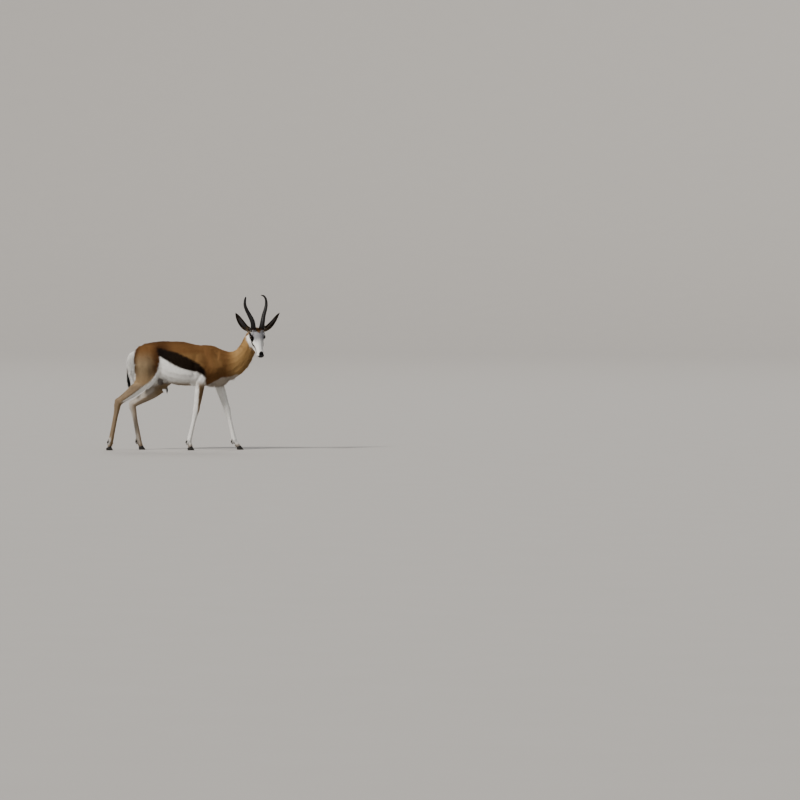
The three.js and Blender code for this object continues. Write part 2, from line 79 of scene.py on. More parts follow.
# Joints of each leg from the hip or shoulder down: x, distance from the midline, height
LEG_JOINTS = {
    "hindleg_right": [(-385, 58, 690), (-352, 64, 498), (-546, 60, 354), (-601, 58, 68), (-614, 58, 26)],
    "hindleg_left": [(-372, 58, 690), (-236, 66, 462), (-448, 60, 334), (-399, 58, 68), (-386, 58, 26)],
    "foreleg_right": [(140, 60, 690), (66, 66, 512), (29, 62, 288), (-22, 57, 68), (-14, 57, 26)],
    "foreleg_left": [(160, 60, 690), (190, 66, 500), (257, 61, 290), (309, 57, 68), (338, 57, 26)],
}
# How far each upper leg swings forward, the heights where that begins and is whole, and the power it grows by
SWING = {"hindleg_left": (108, 700, 480, 1.2), "foreleg_left": (128, 660, 490, 1.0)}
LEG_HAND = {"hindleg_right": -1, "hindleg_left": 1, "foreleg_right": -1, "foreleg_left": 1}
SPINE = [
    (-470, 0, 650), (-400, 0, 668), (-250, 0, 660), (-100, 0, 640), (100, 0, 632), (230, 0, 628),
    (316, -2, 655), (360, -8, 688), (393, -15, 730), (418, -23, 780), (438, -30, 828),
]
TAIL_LINE = [
    (-436, 0, 706), (-458, 0, 690), (-471, 0, 662), (-477, 0, 620), (-477, 0, 570),
    (-471, 0, 500), (-461, 0, 456),
]
LEG_TOP = 510  # height below which a point beside a leg's line may belong to the leg


# Small tools


def unit(vectors):
    """Vectors at length one."""
    return vectors / np.maximum(np.linalg.norm(vectors, axis=-1, keepdims=True), 1e-12)


def ease(low, high, value):
    """0 below low, 1 above high, and smooth between them."""
    share = np.clip((value - low) / (high - low), 0, 1)
    return share * share * (3 - 2 * share)


def swell(gap, radius=1.0):
    """1 where the gap is nothing, falling away smoothly over the radius."""
    return np.exp(-((gap / radius) ** 2))


def from_centre(points, centre, radii=1.0):
    """Distance from a centre, counted in a ball's radius or in its radii along the axes."""
    return np.linalg.norm((points - np.asarray(centre, float)) / radii, axis=1)


def blend(first, second, share):
    """Rows part of the way from the first to the second, by a share for each row."""
    return first * (1 - share[:, None]) + second * share[:, None]


def circle(count):
    """Angles evenly round a circle."""
    return np.linspace(0, 2 * math.pi, count, endpoint=False)


def body_mm(points):
    """Scene points in metres as millimetres from the midline."""
    return (points - np.array([0.0, MIDLINE, 0.0])) / MM


def scene_m(points):
    """Millimetres from the midline as scene points in metres."""
    return np.asarray(points, float) * MM + np.array([0.0, MIDLINE, 0.0])


def head_mm(points):
    """Scene points in the head's own axes."""
    return (body_mm(points) - HEAD_ORIGIN) @ HEAD_AXES.T


def from_head(points):
    """Points in the head's own axes as scene points."""
    return scene_m(np.asarray(points, float) @ HEAD_AXES + HEAD_ORIGIN)


def along(points, line):
    """Distance to a line of points, the share of its length at the nearest place, and its run there."""
    line = np.asarray(line, float)
    lengths = np.linalg.norm(np.diff(line, axis=0), axis=1)
    starts = np.concatenate([[0], np.cumsum(lengths)])
    nearest = np.full(len(points), np.inf)
    place = np.zeros(len(points))
    run = np.zeros((len(points), line.shape[1]))
    for i, length in enumerate(lengths):
        way = (line[i + 1] - line[i]) / length
        offset = points - line[i]
        reach = np.clip(offset @ way, 0, length)
        gap = np.linalg.norm(offset - reach[:, None] * way, axis=1)
        closer = gap < nearest
        nearest[closer] = gap[closer]
        place[closer] = (starts[i] + reach[closer]) / starts[-1]
        run[closer] = way
    return nearest, place, run


def line_gap(points, line):
    """Distance to a line of points, or to a single one."""
    return along(points, line)[0] if len(line) > 1 else from_centre(points, line[0])


def smooth_rows(rows, count):
    """Rows of numbers filled in to count rows on a smooth curve through them."""
    rows = np.asarray(rows, float)
    padded = np.vstack([2 * rows[0] - rows[1], rows, 2 * rows[-1] - rows[-2]])
    place = np.linspace(0, len(rows) - 1, count)
    base = np.minimum(place.astype(int), len(rows) - 2)
    t = (place - base)[:, None]
    a, b, c, d = padded[base], padded[base + 1], padded[base + 2], padded[base + 3]
    return 0.5 * (2 * b + (c - a) * t + (2 * a - 5 * b + 4 * c - d) * t**2 + (3 * b - a - 3 * c + d) * t**3)


def noise_of(points, size):
    """Soft noise from -1 to 1 over points in millimetres, with patches of the given size."""
    total = np.zeros(len(points))
    turns = ((1.0, 0.31, 0.17), (-0.42, 0.93, 0.38), (0.23, -0.51, 0.88), (0.71, 0.62, -0.47))
    for i, turn in enumerate(turns):
        total += np.sin(points @ np.array(turn) * (2 * math.pi / size) * (1 + 0.37 * i) + 1.7 * i)
    return total / len(turns)


def linear(red, green, blue):
    """A display colour from 0 to 255 as the linear one that shaders take."""
    share = np.array([red, green, blue]) / 255
    return np.where(share <= 0.04045, share / 12.92, ((share + 0.055) / 1.055) ** 2.4)


def put_in_scene(name, data):
    """A new object of a mesh, camera or light, put in the scene."""
    made = bpy.data.objects.new(name, data)
    bpy.context.scene.collection.objects.link(made)
    return made


def shade_smooth(mesh):
    """Gives all faces of a mesh smooth shading."""
    mesh.polygons.foreach_set("use_smooth", np.ones(len(mesh.polygons), bool))


def mesh_object(name, points, faces):
    """An object from arrays of points and faces of one size."""
    mesh = bpy.data.meshes.new(name)
    mesh.vertices.add(len(points))
    mesh.vertices.foreach_set("co", np.asarray(points, np.float32).ravel())
    mesh.loops.add(faces.size)
    mesh.loops.foreach_set("vertex_index", faces.astype(np.int32).ravel())
    mesh.polygons.add(len(faces))
    mesh.polygons.foreach_set("loop_start", np.arange(0, faces.size, faces.shape[1], dtype=np.int32))
    shade_smooth(mesh)
    mesh.update(calc_edges=True)
    return put_in_scene(name, mesh)


def read(items, field, width, kind=float):
    """One field of a mesh's points, edges or triangles as an array, a row for each."""
    values = np.zeros(len(items) * width, np.int32 if kind is int else np.float32)
    items.foreach_get(field, values)
    return values.reshape(-1, width).astype(kind)


def points_of(mesh):
    """A mesh's points as an array."""
    return read(mesh.vertices, "co", 3)


def paint_points(mesh, colours):
    """Keeps a colour for each point of a mesh."""
    attribute = mesh.color_attributes.new("coat_colour", "FLOAT_COLOR", "POINT")
    opaque = np.hstack([colours, np.ones((len(colours), 1))])
    attribute.data.foreach_set("color", opaque.astype(np.float32).ravel())


def note_points(mesh, name, values):
    """Keeps a number, or three, for each point of a mesh."""
    kind, field = ("FLOAT", "value") if values.ndim == 1 else ("FLOAT_VECTOR", "vector")
    mesh.attributes.new(name, kind, "POINT").data.foreach_set(field, values.astype(np.float32).ravel())


def noted(mesh, name):
    """The numbers kept for each point of a mesh."""
    return read(mesh.attributes[name].data, "value", 1)[:, 0]


def ring_faces(count, corners):
    """Four-sided faces between rings of points that follow one another."""
    faces = []
    for first in range(0, (count - 1) * corners, corners):
        for i in range(corners):
            j = (i + 1) % corners
            faces.append((first + i, first + j, first + corners + j, first + corners + i))
    return faces


def tube(rings):
    """Points and four-sided faces over rings of one size, with the triangles that close both ends."""
    rings = np.asarray(rings, float)
    count, corners = rings.shape[:2]
    points = np.vstack([rings.reshape(-1, 3), rings[0].mean(0), rings[-1].mean(0)])
    caps = []
    last = (count - 1) * corners
    for i in range(corners):
        j = (i + 1) % corners
        caps.append((j, i, count * corners))
        caps.append((last + i, last + j, count * corners + 1))
    return points, ring_faces(count, corners), caps


def tube_object(name, points, quads, triangles):
    """An object from points, four-sided faces and three-sided faces."""
    bm = bmesh.new()
    made = [bm.verts.new(point) for point in points]
    for face in [*quads, *triangles]:
        bm.faces.new([made[i] for i in face])
    bmesh.ops.recalc_face_normals(bm, faces=bm.faces)
    mesh = bpy.data.meshes.new(name)
    bm.to_mesh(mesh)
    bm.free()
    shade_smooth(mesh)
    return put_in_scene(name, mesh)


def declare(piece, slot, *nodes):
    """Hides the nodes that a piece replaces; the slot is not used. All of them ride with the one body."""
    if nodes:
        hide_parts(*nodes)
    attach(piece, "root")
    return piece


def edge_pairs(mesh):
    """A mesh's edges as pairs of points."""
    return read(mesh.edges, "vertices", 2, int)


def relax(points, pairs, weight, rounds):
    """Evens out the points without shrinking the form, by a share of weight at each."""
    count = len(points)
    first, second = pairs.T
    neighbours = np.maximum(np.bincount(first, minlength=count) + np.bincount(second, minlength=count), 1)
    for _ in range(rounds):
        for pull in (0.5, -0.52):
            moved = np.empty_like(points)
            for axis, values in enumerate(points.T):
                total = np.bincount(first, values[second], count) + np.bincount(second, values[first], count)
                moved[:, axis] = total / neighbours - values
            points = points + moved * (pull * weight)[:, None]
    return points


def normals_of(mesh, points):
    """Moves a mesh's points, and gives the normals there."""
    mesh.vertices.foreach_set("co", points.astype(np.float32).ravel())
    mesh.update()
    return read(mesh.vertex_normals, "vector", 3)


# Where things are on the animal


def unswung(points):
    """Body points without the forward swing of each upper leg, so that one table serves both sides."""
    squared = points.copy()
    for leg, (swing, begins, whole, power) in SWING.items():
        share = np.clip((begins - points[:, 2]) / (begins - whole), 0, 1.15) ** power
        near = ease(-150, 0, points[:, 0]) if leg.startswith("fore") else ease(-60, -220, points[:, 0])
        squared[:, 0] -= swing * share * near * ease(0, 25, points[:, 1] * LEG_HAND[leg])
    return squared


def leg_line(leg):
    """The joints of one leg from the top down, on its own side."""
    return np.array(LEG_JOINTS[leg], float) * (1, LEG_HAND[leg], 1)


def leg_front(leg):
    """The heights and x of a leg's line, rising."""
    line = leg_line(leg)[::-1]
    return line[:, 2], line[:, 0]


def places(points):
    """For scene points: body and head coordinates, and how surely each is on the head, a leg or the tail."""
    body = body_mm(points)
    head = head_mm(points)
    cut = (head - (-40, 0, -76)) @ HEAD_AXES @ unit(np.array([0.3, -0.8, 0.35]))
    legs = {}
    for leg, hand in LEG_HAND.items():
        gap = line_gap(body, leg_line(leg)[1:])
        legs[leg] = (body[:, 2] < LEG_TOP) * (body[:, 1] * hand > 14) * (gap < 75)
    gap, tail_place = along(body, TAIL_LINE)[:2]
    on_tail = (gap < 26) * (body[:, 0] < -455 + 10 * (body[:, 2] > 690)) * (np.abs(body[:, 1]) < 17)
    return {
        "body": body,
        "head": head,
        "on_head": ease(-6, 6, cut) * (body[:, 2] > 600) * (body[:, 0] > 330),
        "legs": legs,
        "on_tail": on_tail.astype(float),
        "tail_place": tail_place,
    }


def flat_on(ways, normals):
    """Directions laid flat along the skin."""
    return unit(ways - normals * np.sum(ways * normals, axis=1, keepdims=True))


def lie_of_coat(points, normals):
    """The way the hair points at each place, flat along the skin."""
    at = places(points)
    body, head = at["body"], at["head"]
    gap, place, run = along(body, SPINE)
    back = -run + np.array([0, 0, -1.0]) * (0.28 + 0.5 * ease(0.62, 0.9, place))[:, None]
    total = back / (gap[:, None] + 20) ** 3
    for leg, hand in LEG_HAND.items():
        gap, _, run = along(body, leg_line(leg))
        pull = 1.6 * ease(640, 480, body[:, 2]) * (body[:, 1] * hand > 8)
        total += run * (pull / (gap + 12) ** 3)[:, None]
    rump = ease(-425, -470, body[:, 0]) * ease(500, 560, body[:, 2])
    total = blend(unit(total), np.array([-0.15, 0, -1.0]), rump)
    down_tail = along(body, TAIL_LINE)[2]
    total = np.where(at["on_tail"][:, None] > 0.5, down_tail, unit(total))
    sweep = np.array([-1.0, 0, 0]) + unit(head * (0, 1, 1)) * (0, 0.25, -0.1)
    sweep = sweep + np.sign(head[:, 1:2]) * (0, 0.35, 0) * ease(10, -30, head[:, 0])[:, None]
    return flat_on(blend(total, unit(sweep @ HEAD_AXES), at["on_head"]), normals)


# Markings

COLOURS = {
    "cinnamon": linear(108, 75, 42),
    "golden": linear(178, 142, 90),
    "fawn": linear(152, 132, 102),
    "band": linear(9, 4, 2),
    "edge_brown": linear(62, 36, 14),
    "white": linear(242, 241, 237),
    "belly_tan": linear(184, 152, 112),
    "grey": linear(118, 117, 124),
    "leg_tan": linear(130, 108, 79),
    "black": linear(4, 3, 3),
    # the ear's inside: partly its own dark grey skin, partly painted shade in the hollow of the ear
    "ear_inside": linear(20, 14, 13),
    "ear_back": linear(176, 152, 118),
    "forelock": linear(112, 78, 40),
    "nose": linear(9, 8, 9),
}

# The dark band along the flank: x, its top edge and its bottom edge
BAND = [
    (-262, 762, 742), (-240, 756, 705), (-215, 750, 682), (-181, 741, 664), (-130, 729, 632),
    (-90, 715, 614), (-41, 693, 598), (5, 669, 588), (48, 647, 581), (80, 620, 564), (104, 590, 538),
]


# Where the thigh's brown gives way to white ahead of it: heights and the x of each
THIGH_EDGE = (
    (355, 385, 419, 451, 481, 518, 555, 592, 629, 666, 700),
    (-530, -478, -428, -388, -351, -307, -274, -248, -235, -226, -222),
)


def all_of(name, count):
    """One named colour for a count of points."""
    return np.tile(COLOURS[name], (count, 1))


def paint(colour, *layers):
    """Lays named colours over a colour in turn, each by its share at each point."""
    for name, share in layers:
        colour = blend(colour, COLOURS[name], np.clip(share, 0, 1))
    return colour


def markings(points, normals):
    """The coat's colour at scene points, from where they are on the animal, with painted shade laid in under
    the belly, on the brisket, between the thighs and inside the hind legs.
    """
    at = places(points)
    body = at["body"]
    squared = unswung(body)
    flank = squared[:, [0, 2]]
    x, z = flank.T
    out = np.abs(body[:, 1])
    thigh = ease(-215, -290, x + 0.25 * (z - 560)) * ease(755, 620, z)
    ahead_of_thigh = line_gap(flank, [(-222, 745), (-226, 666), (-248, 592), (-300, 524)])
    band_x, band_tops, band_bottoms = np.array(BAND, float).T
    above_top = z - np.interp(x, band_x, band_tops)
    above_bottom = z - np.interp(x, band_x, band_bottoms)
    band = ease(-266, -236, x) * ease(118, 96, x) * ease(10, -7, above_top) * ease(-4, 4, above_bottom)
    brisket_line = np.interp(x, [100, 226, 300, 320], [474, 540, 548, 560])
    inward = ease(0.25, -0.15, normals[:, 1] * np.sign(body[:, 1]))
    underside = np.maximum.reduce([
        ease(4, -4, above_bottom) * ease(-234, -222, x) * ease(110, 92, x),
        ease(6, -6, z - brisket_line) * ease(96, 112, x),
        inward * ease(-215, -240, x) * ease(690, 650, z) * ease(90, 60, out),
        ease(-5, 6, x - np.interp(z, *THIGH_EDGE)) * ease(694, 676, z) * ease(-205, -220, x),
    ])
    back_and_side = ease(730, 700, z) * ease(130, 60, x) * ease(-230, -150, x)
    colour = paint(
        all_of("cinnamon", len(points)) * (1 + 0.1 * noise_of(body, 160))[:, None],
        ("golden", 0.75 * ease(250, 340, x) + 0.22 * back_and_side),
        ("edge_brown", 0.25 * swell(from_centre(flank, (90, 670), (50, 60)))),
        ("edge_brown", 0.5 * ease(765, 795, z) * ease(70, 10, out) * ease(330, 240, x)),
        ("edge_brown", 0.3 * ease(610, 560, z) * ease(150, 230, x) * ease(400, 330, x)),
        ("fawn", 0.9 * thigh),
        ("belly_tan", 0.4 * thigh * ease(600, 520, z)),
        ("edge_brown", 0.95 * ease(105, 8, ahead_of_thigh) * ease(500, 620, z)),
        ("golden", 0.2 * swell(from_centre(flank, (190, 650), (50, 60)))),
        ("edge_brown", 0.6 * swell(from_centre(flank, (112, 560), (34, 60)))),
        ("band", 0.97 * band),
        ("white", underside),
        # painted shade: darker tan along the lowest line of the white belly, over a faint tan of its own
        ("leg_tan", underside * 0.9 * ease(528, 482, z) * ease(-240, -200, x) * ease(110, 90, x)),
        # painted shade: bluish grey on the white in the fold between the belly and the thighs
        ("grey", underside * 0.35 * ease(560, 520, z) * ease(-160, -200, x) * ease(-240, -215, x)),
        # painted shade: tan over the white brisket between the forelegs
        ("leg_tan", underside * 0.75 * ease(100, 150, x)),
    )
    colour = paint_rump(colour, squared, body)
    colour = paint_legs(colour, at, squared, normals)
    # painted shade: tan on the inside of each stifle, partly the far thigh's own tan and partly the belly's
    # shade on the far leg
    for leg in ("hindleg_right", "hindleg_left"):
        from_stifle = from_centre(body, leg_line(leg)[1] + (10, 0, -12))
        inner = ease(0.2, -0.1, normals[:, 1] * LEG_HAND[leg])
        colour = paint(colour, ("leg_tan", 0.85 * ease(75, 45, from_stifle) * inner))
    colour = paint_neck(colour, at)
    colour = paint_head(colour, at["head"], at["on_head"])
    place = at["tail_place"]
    tail = all_of("white", len(points))
    tail = paint(tail, ("edge_brown", ease(0.3, 0.5, place)), ("black", ease(0.45, 0.62, place)))
    sheath = from_centre(body, (-204, 0, 458), (44, 26, 34))
    sheath_hair = from_centre(body, (-184, 0, 436), (1, 1, 1.8))
    scrotum = from_centre(body, (-236, 0, 500), (24, 18, 34))
    return paint(
        blend(colour, tail, at["on_tail"]),
        ("leg_tan", 0.85 * ease(1.25, 0.9, sheath)),
        ("band", 0.9 * ease(20, 12, sheath_hair)),
        # painted shade: the scrotum, white-haired on the animal, laid dark brown for the shade between the
        # thighs
        ("edge_brown", 0.8 * ease(1.25, 0.85, scrotum)),
    )


# The white patch round the tail, from below upwards: heights, and its half width or where it begins behind
RUMP_HALF = ((380, 440, 532, 636, 692, 740, 775, 800), (30, 50, 84, 98, 92, 56, 12, 4))
RUMP_FRONT = (
    (380, 440, 480, 532, 560, 636, 692, 740, 775, 800),
    (-470, -446, -430, -418, -418, -428, -426, -414, -400, -330),
)


def paint_rump(colour, squared, body):
    """The white patch round the tail, up to a point on the croup, with its brown border."""
    z = body[:, 2]
    out = np.abs(body[:, 1])
    beyond = out - np.interp(z, *RUMP_HALF)
    ahead = squared[:, 0] - np.interp(z, *RUMP_FRONT)
    behind = ease(4, -6, ahead)
    patch = behind * ease(5, -5, beyond)
    border = behind * ease(22, 6, beyond) * (1 - patch) * ease(460, 520, z)
    border = np.maximum(border, ease(46, 3, ahead) * ease(500, 640, z) * ease(25, 50, out))
    return paint(colour, ("edge_brown", 0.85 * border * (1 - patch)), ("white", patch))


def paint_legs(colour, at, squared, normals):
    """Tan outsides and white backs and insides, the hind legs' insides laid over in tan as painted shade, and
    darker hair round the dewclaws and over the hooves.
    """
    body = at["body"]
    z = body[:, 2]
    for leg, on_leg in at["legs"].items():
        ahead = body[:, 0] - np.interp(z, *leg_front(leg))
        outer = normals[:, 1] * LEG_HAND[leg]
        hind = leg.startswith("hind")
        tan = hindleg_tan(squared, z, ahead, outer) if hind else foreleg_tan(z, ahead, outer)
        top = ease(505, 475, z) if hind else ease(500, 470, z + 0.35 * ahead)
        painted = paint(
            all_of("white", len(body)),
            ("leg_tan", tan),
            ("edge_brown", 0.5 * tan * ease(300, 440, z) * (not hind)),
            ("leg_tan", 0.6 * ease(58, 38, z)),
            ("edge_brown", 0.5 * ease(44, 30, z)),
            ("edge_brown", 0.7 * ease(24, 12, np.abs(z - 64)) * ease(-9, -16, ahead)),
        )
        colour = blend(colour, painted, on_leg * top)
    return colour


def hindleg_tan(squared, z, ahead, outer):
    """How tan a hind leg is over its white: mostly on the outside, in front below the hock, and on the inside
    as painted shade.
    """
    tan = np.clip(ease(-0.35, 0.25, outer) * 0.95 + 0.5 * ease(6, 14, ahead) * ease(400, 300, z), 0, 1)
    tan *= 1 - 0.75 * ease(110, 70, z) * ease(2, -8, ahead)
    past_edge = squared[:, 0] - np.interp(squared[:, 2], *THIGH_EDGE)
    tan *= 1 - ease(-5, 6, past_edge) * ease(350, 372, z)
    tan = np.maximum(tan, 0.8 * ease(350, 320, z) * ease(-16, -8, ahead) * ease(90, 130, z))
    # painted shade: tan over the white inside, for the body's shade on the far leg, strongest towards the
    # front where the leg's own tan edge wraps round
    return np.maximum(tan, (0.6 + 0.3 * ease(-10, 15, ahead)) * ease(0.25, -0.1, outer))


def foreleg_tan(z, ahead, outer):
    """How tan a foreleg is over its white: a stripe in front that narrows downwards."""
    narrowing = np.interp(z, [60, 250, 400, 520], [30, 17, 1, -12])
    tan = ease(-0.45, 0.2, outer) * ease(narrowing - 6, narrowing + 7, ahead) * ease(200, 290, z)
    return np.maximum(tan, 0.28 * ease(-0.2, 0.5, outer) * ease(6, 12, ahead))


def paint_neck(colour, at):
    """A browner front of the neck, and the white of the throat under the jaw."""
    body = at["body"]
    front = (body - (360, -8, 688)) @ np.array([0.85, -0.25, -0.45])
    on_neck = ease(280, 330, body[:, 0] + 0.4 * (body[:, 2] - 640))
    throat = ease(10, 0, from_centre(at["head"], (20, 0, -84), (2.2, 0.9, 0.6)) - 18)
    off_head = 1 - at["on_head"]
    browner = 0.3 * on_neck * ease(30, 62, front)
    return paint(colour, ("edge_brown", browner * off_head), ("white", 0.8 * throat * off_head))


# The dark stripe from the eye to the mouth and the dark corner behind the eye, along the face and out of it
STRIPE = [(8, -6), (26, -14), (44, -15), (66, -14), (88, -14), (108, -19), (120, -26)]
EYE_CORNER = [(-14, -3), (-36, -11), (-60, -18)]


def paint_head(colour, head, on_head):
    """White face and cheeks, brown forelock and nape, and the dark stripe from the eye to the mouth."""
    left = on_left(head)
    f, side, u = left.T
    profile = left[:, [0, 2]]
    seat = from_centre(left, (-64, 32, 39), (23, 19, 22))
    cap = np.maximum.reduce([
        ease(-16, -30, f + side) * ease(8, 18, u + 0.1 * side),
        ease(1.08, 0.95, seat),
        ease(-64, -78, f),
        ease(4, -8, f + 44 + 0.10 * (u + 60)) * ease(20, -10, -u - 90),
    ])
    root = np.maximum(
        ease(36, 24, from_centre(left, (-66, 50, -6))), ease(58, 70, side) * ease(-40, -20, u)
    )
    stripe_gap, stripe_place = along(profile, STRIPE)[:2]
    width = 7.5 - 4.0 * stripe_place
    stripe = ease(width + 1.8, width - 1.8, stripe_gap) * ease(10, 16, side) * ease(-30, -16, f)
    round_eye = ease(1.1, 0.9, from_centre(profile, (-6, -1), (34, 23))) * ease(26, 34, side)
    corner_gap, corner_place = along(profile, EYE_CORNER)[:2]
    corner = ease(19 - 9 * corner_place, 15 - 9 * corner_place, corner_gap) * ease(26, 34, side)
    face = paint(
        all_of("white", len(head)),
        ("grey", 0.85 * ease(2, 20, u) * ease(64, 10, f) * ease(-70, -40, f)),
        ("grey", 0.3 * ease(30, 70, f) * ease(20, 8, side) * ease(135, 110, f)),
        ("forelock", cap),
        ("edge_brown", 0.9 * cap * ease(1.35, 1.05, seat)),
        ("black", 0.75 * cap * ease(1.25, 0.95, seat)),
        ("golden", 0.75 * ease(-66, -84, f)),
        ("ear_back", 0.75 * ease(34, 46, side) * ease(-56, -68, f) * ease(-70, -50, u)),
        ("ear_back", 0.9 * root * ease(8, -2, u)),
        # the inside's dark carried onto the head at the ear's root: partly the ear's own dark skin, partly
        # painted shade
        ("ear_inside", 0.85 * root * ease(-2, 8, u)),
        ("band", 0.97 * stripe),
        ("black", round_eye),
        ("black", 0.95 * corner),
        ("black", 0.96 * ease(1.1, 0.9, from_centre(head, (150, 0, -14), (20, 27, 23)))),
        ("nose", ease(1.08, 0.92, from_centre(head, (143, 0, 4), (30, 20, 19)))),
        ("black", 0.95 * ease(3.2, 1.4, line_gap(left, MOUTH_LINE))),
    )
    on_head = on_head * (1 - ease(-84, -94, u) * ease(12, 18, side - 0.4 * (u + 84)))
    beyond_jaw = side - 57 + 0.45 * np.clip(f + 15, 0, 40)
    return blend(colour, face, on_head * (1 - ease(-5, 5, beyond_jaw) * ease(-42, -58, u)))


def on_left(head):
    """Points in the head's axes, with those of its right side mirrored to the left."""
    return head * (1, 0, 1) + np.abs(head) * (0, 1, 0)


MOUTH_LINE = [(154, 0, -17), (147, 10, -20), (134, 18.5, -25.5), (117, 22, -30), (104, 23.5, -31.5)]


# Skin

EYE_CENTRE = (-8, 46, 3)
EYE_RADIUS = 15.5
EYE_AXIS = unit(np.array([0.40, 0.88, 0.20]))  # the way that the left eye looks
SKIN_GRAIN = 0.004  # size of the skin's faces before the head is refined

# Rounded forms raised or sunk on the trunk's sides: points as x and height, radius, how far they stand out.
# The x values are those of an upper leg that hangs straight down.
SIDE_FORMS = [
    ([(-268, 762)], 26, 4.0),  # point of the hip
    ([(-446, 712)], 24, 3.5),  # pin bone
    ([(-350, 748)], 40, -2.5),
    ([(-372, 664)], 34, 3.0),  # head of the thigh bone
    ([(-266, 522)], 28, 5.0),  # stifle
    ([(-205, 742)], 44, -6.0),  # hollow of the flank
    ([(-238, 640), (-252, 590), (-270, 545)], 13, 3.0),  # fold of skin from flank to stifle
    ([(-214, 620), (-222, 570), (-240, 530)], 18, -4.0),
    ([(-425, 690), (-420, 600), (-432, 520)], 13, -3.0),  # between the hamstrings
    ([(-330, 560), (-340, 640), (-330, 700)], 26, 2.5),
    ([(128, 752), (150, 690), (176, 640)], 15, 3.0),  # spine of the shoulder blade
    ([(100, 735), (112, 690), (132, 640)], 20, -2.5),
    ([(222, 612)], 30, 5.0),  # point of the shoulder
    ([(78, 660), (70, 590)], 40, 4.5),  # triceps
    ([(38, 700), (26, 640), (18, 590), (14, 550)], 15, -4.5),
    ([(36, 545)], 18, 4.0),  # elbow
    ([(190, 575), (150, 545)], 22, -3.0),
    ([(246, 700), (256, 640), (250, 590)], 18, -3.0),  # front edge of the shoulder
]
RIBS = {"from": -170, "to": 20, "spacing": 27, "height": 0.6}

# The same on a leg: share of the way from joint to joint (1 stifle or elbow, 2 hock or knee, 3 fetlock,
# 4 coronet), distance ahead of its line, distance to the outside, radius and how far it stands out
HIND_FORMS = [
    ([(1.25, 0, 26), (1.55, 4, 22)], 22, 2.5),
    ([(1.60, -18, 14), (1.92, -20, 12)], 8, -4.0),
    ([(1.60, -18, -14), (1.92, -20, -12)], 8, -4.0),
    ([(1.98, -32, 0)], 12, 4.0),  # point of the hock
    ([(2.02, 16, 10)], 11, 2.0),
    ([(2.02, 16, -10)], 11, 1.6),
    ([(2.2, -7, 11), (2.85, -7, 10)], 4.5, -1.6),
    ([(2.2, -7, -11), (2.85, -7, -10)], 4.5, -1.6),
    ([(2.97, 2, 12)], 9, 1.6),
    ([(2.97, 2, -12)], 9, 1.6),
    ([(3.35, -14, 0)], 9, -1.5),
]
FORE_FORMS = [
    ([(1.3, 10, 22), (1.7, 10, 16)], 16, 2.0),
    ([(1.25, -14, 18), (1.8, -14, 13)], 9, -2.0),
    ([(1.96, 14, 8)], 12, 2.5),  # knee
    ([(1.97, -18, 4)], 9, 2.5),
    ([(2.2, -6, 10), (2.85, -6, 9)], 4.5, -1.5),
    ([(2.2, -6, -10), (2.85, -6, -9)], 4.5, -1.5),
    ([(2.97, 2, 12)], 9, 1.6),
    ([(2.97, 2, -12)], 9, 1.6),
    ([(3.35, -14, 0)], 9, -1.5),
]

# The same on the head, in its own axes, given for the left
HEAD_FORMS = [
    ([(-30, 50, 24), (-10, 55, 26), (8, 50, 20)], 9, 2.0),  # brow
    ([(-40, 50, -24), (-6, 51, -25), (32, 42, -26), (68, 30, -26)], 9, 2.2),  # cheekbone
    ([(52, 33, -46), (82, 26, -42)], 14, -3.0),
    ([(-26, 44, -56), (2, 43, -64)], 26, 2.0),  # jaw muscle
    ([(-44, 50, 14)], 12, -2.5),  # temple
    ([(34, 22, 26), (84, 15, 17)], 8, -1.2),
    ([(20, 0, 44), (90, 0, 21)], 12, 1.0),  # bridge of the nose
    ([(22, 40, -6), (32, 37, -9)], 4.5, -2.0),  # scent gland before the eye
    ([(146, 12, -14), (126, 19, -18)], 8, 1.8),  # upper lip
    ([(140, 8, -30), (120, 16, -35)], 7, 1.0),
    ([(-48, 38, -72), (-26, 26, -100)], 14, -2.5),  # where the throat begins
]
WINDPIPE = [(300, 0, 560), (366, 0, 600), (424, 0, 690)]
NECK_GROOVE = [(322, 596), (380, 650), (420, 740), (428, 790)]
FACE_LINES = [
    ([(157, 5, -3), (153, 10, 1), (147, 14, 2.5), (140, 15, 0)], 3.0, -5.5),  # nostril
    ([(158, 7, -8), (151, 15, -7), (143, 19, -4)], 5.0, 1.0),
    ([(159, 0, -5), (155, 0, -16)], 2.2, -1.4),
    (MOUTH_LINE, 2.4, -2.8),
]


def flesh_soup(nodes):
    """The frame's flesh as triangles, each node grown a little so that neighbours overlap."""
    bm = bmesh.new()
    for node in nodes:
        start = len(bm.verts)
        bm.from_mesh(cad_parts[node].data)
        bm.verts.ensure_lookup_table()
        bmesh.ops.remove_doubles(bm, verts=bm.verts[start:], dist=1e-5)
    bm.normal_update()
    for vert in bm.verts:
        vert.co += vert.normal * 0.0007
    for hand in HANDS:
        centre = from_head([(EYE_CENTRE[0], hand * EYE_CENTRE[1], EYE_CENTRE[2])])[0]
        made = bmesh.ops.create_icosphere(bm, subdivisions=3, radius=(EYE_RADIUS + 1.6) * MM)
        bmesh.ops.translate(bm, verts=made["verts"], vec=centre)
        root, run = ear_root(hand), ear_run(hand)
        for reach, radius in ((-10, 19), (0, 18), (9, 16), (18, 14)):
            made = bmesh.ops.create_icosphere(bm, subdivisions=3, radius=radius * MM)
            bmesh.ops.translate(bm, verts=made["verts"], vec=root + run * (reach + 16) * MM)
    mesh = bpy.data.meshes.new("springbok_skin")
    bm.to_mesh(mesh)
    bm.free()
    return mesh


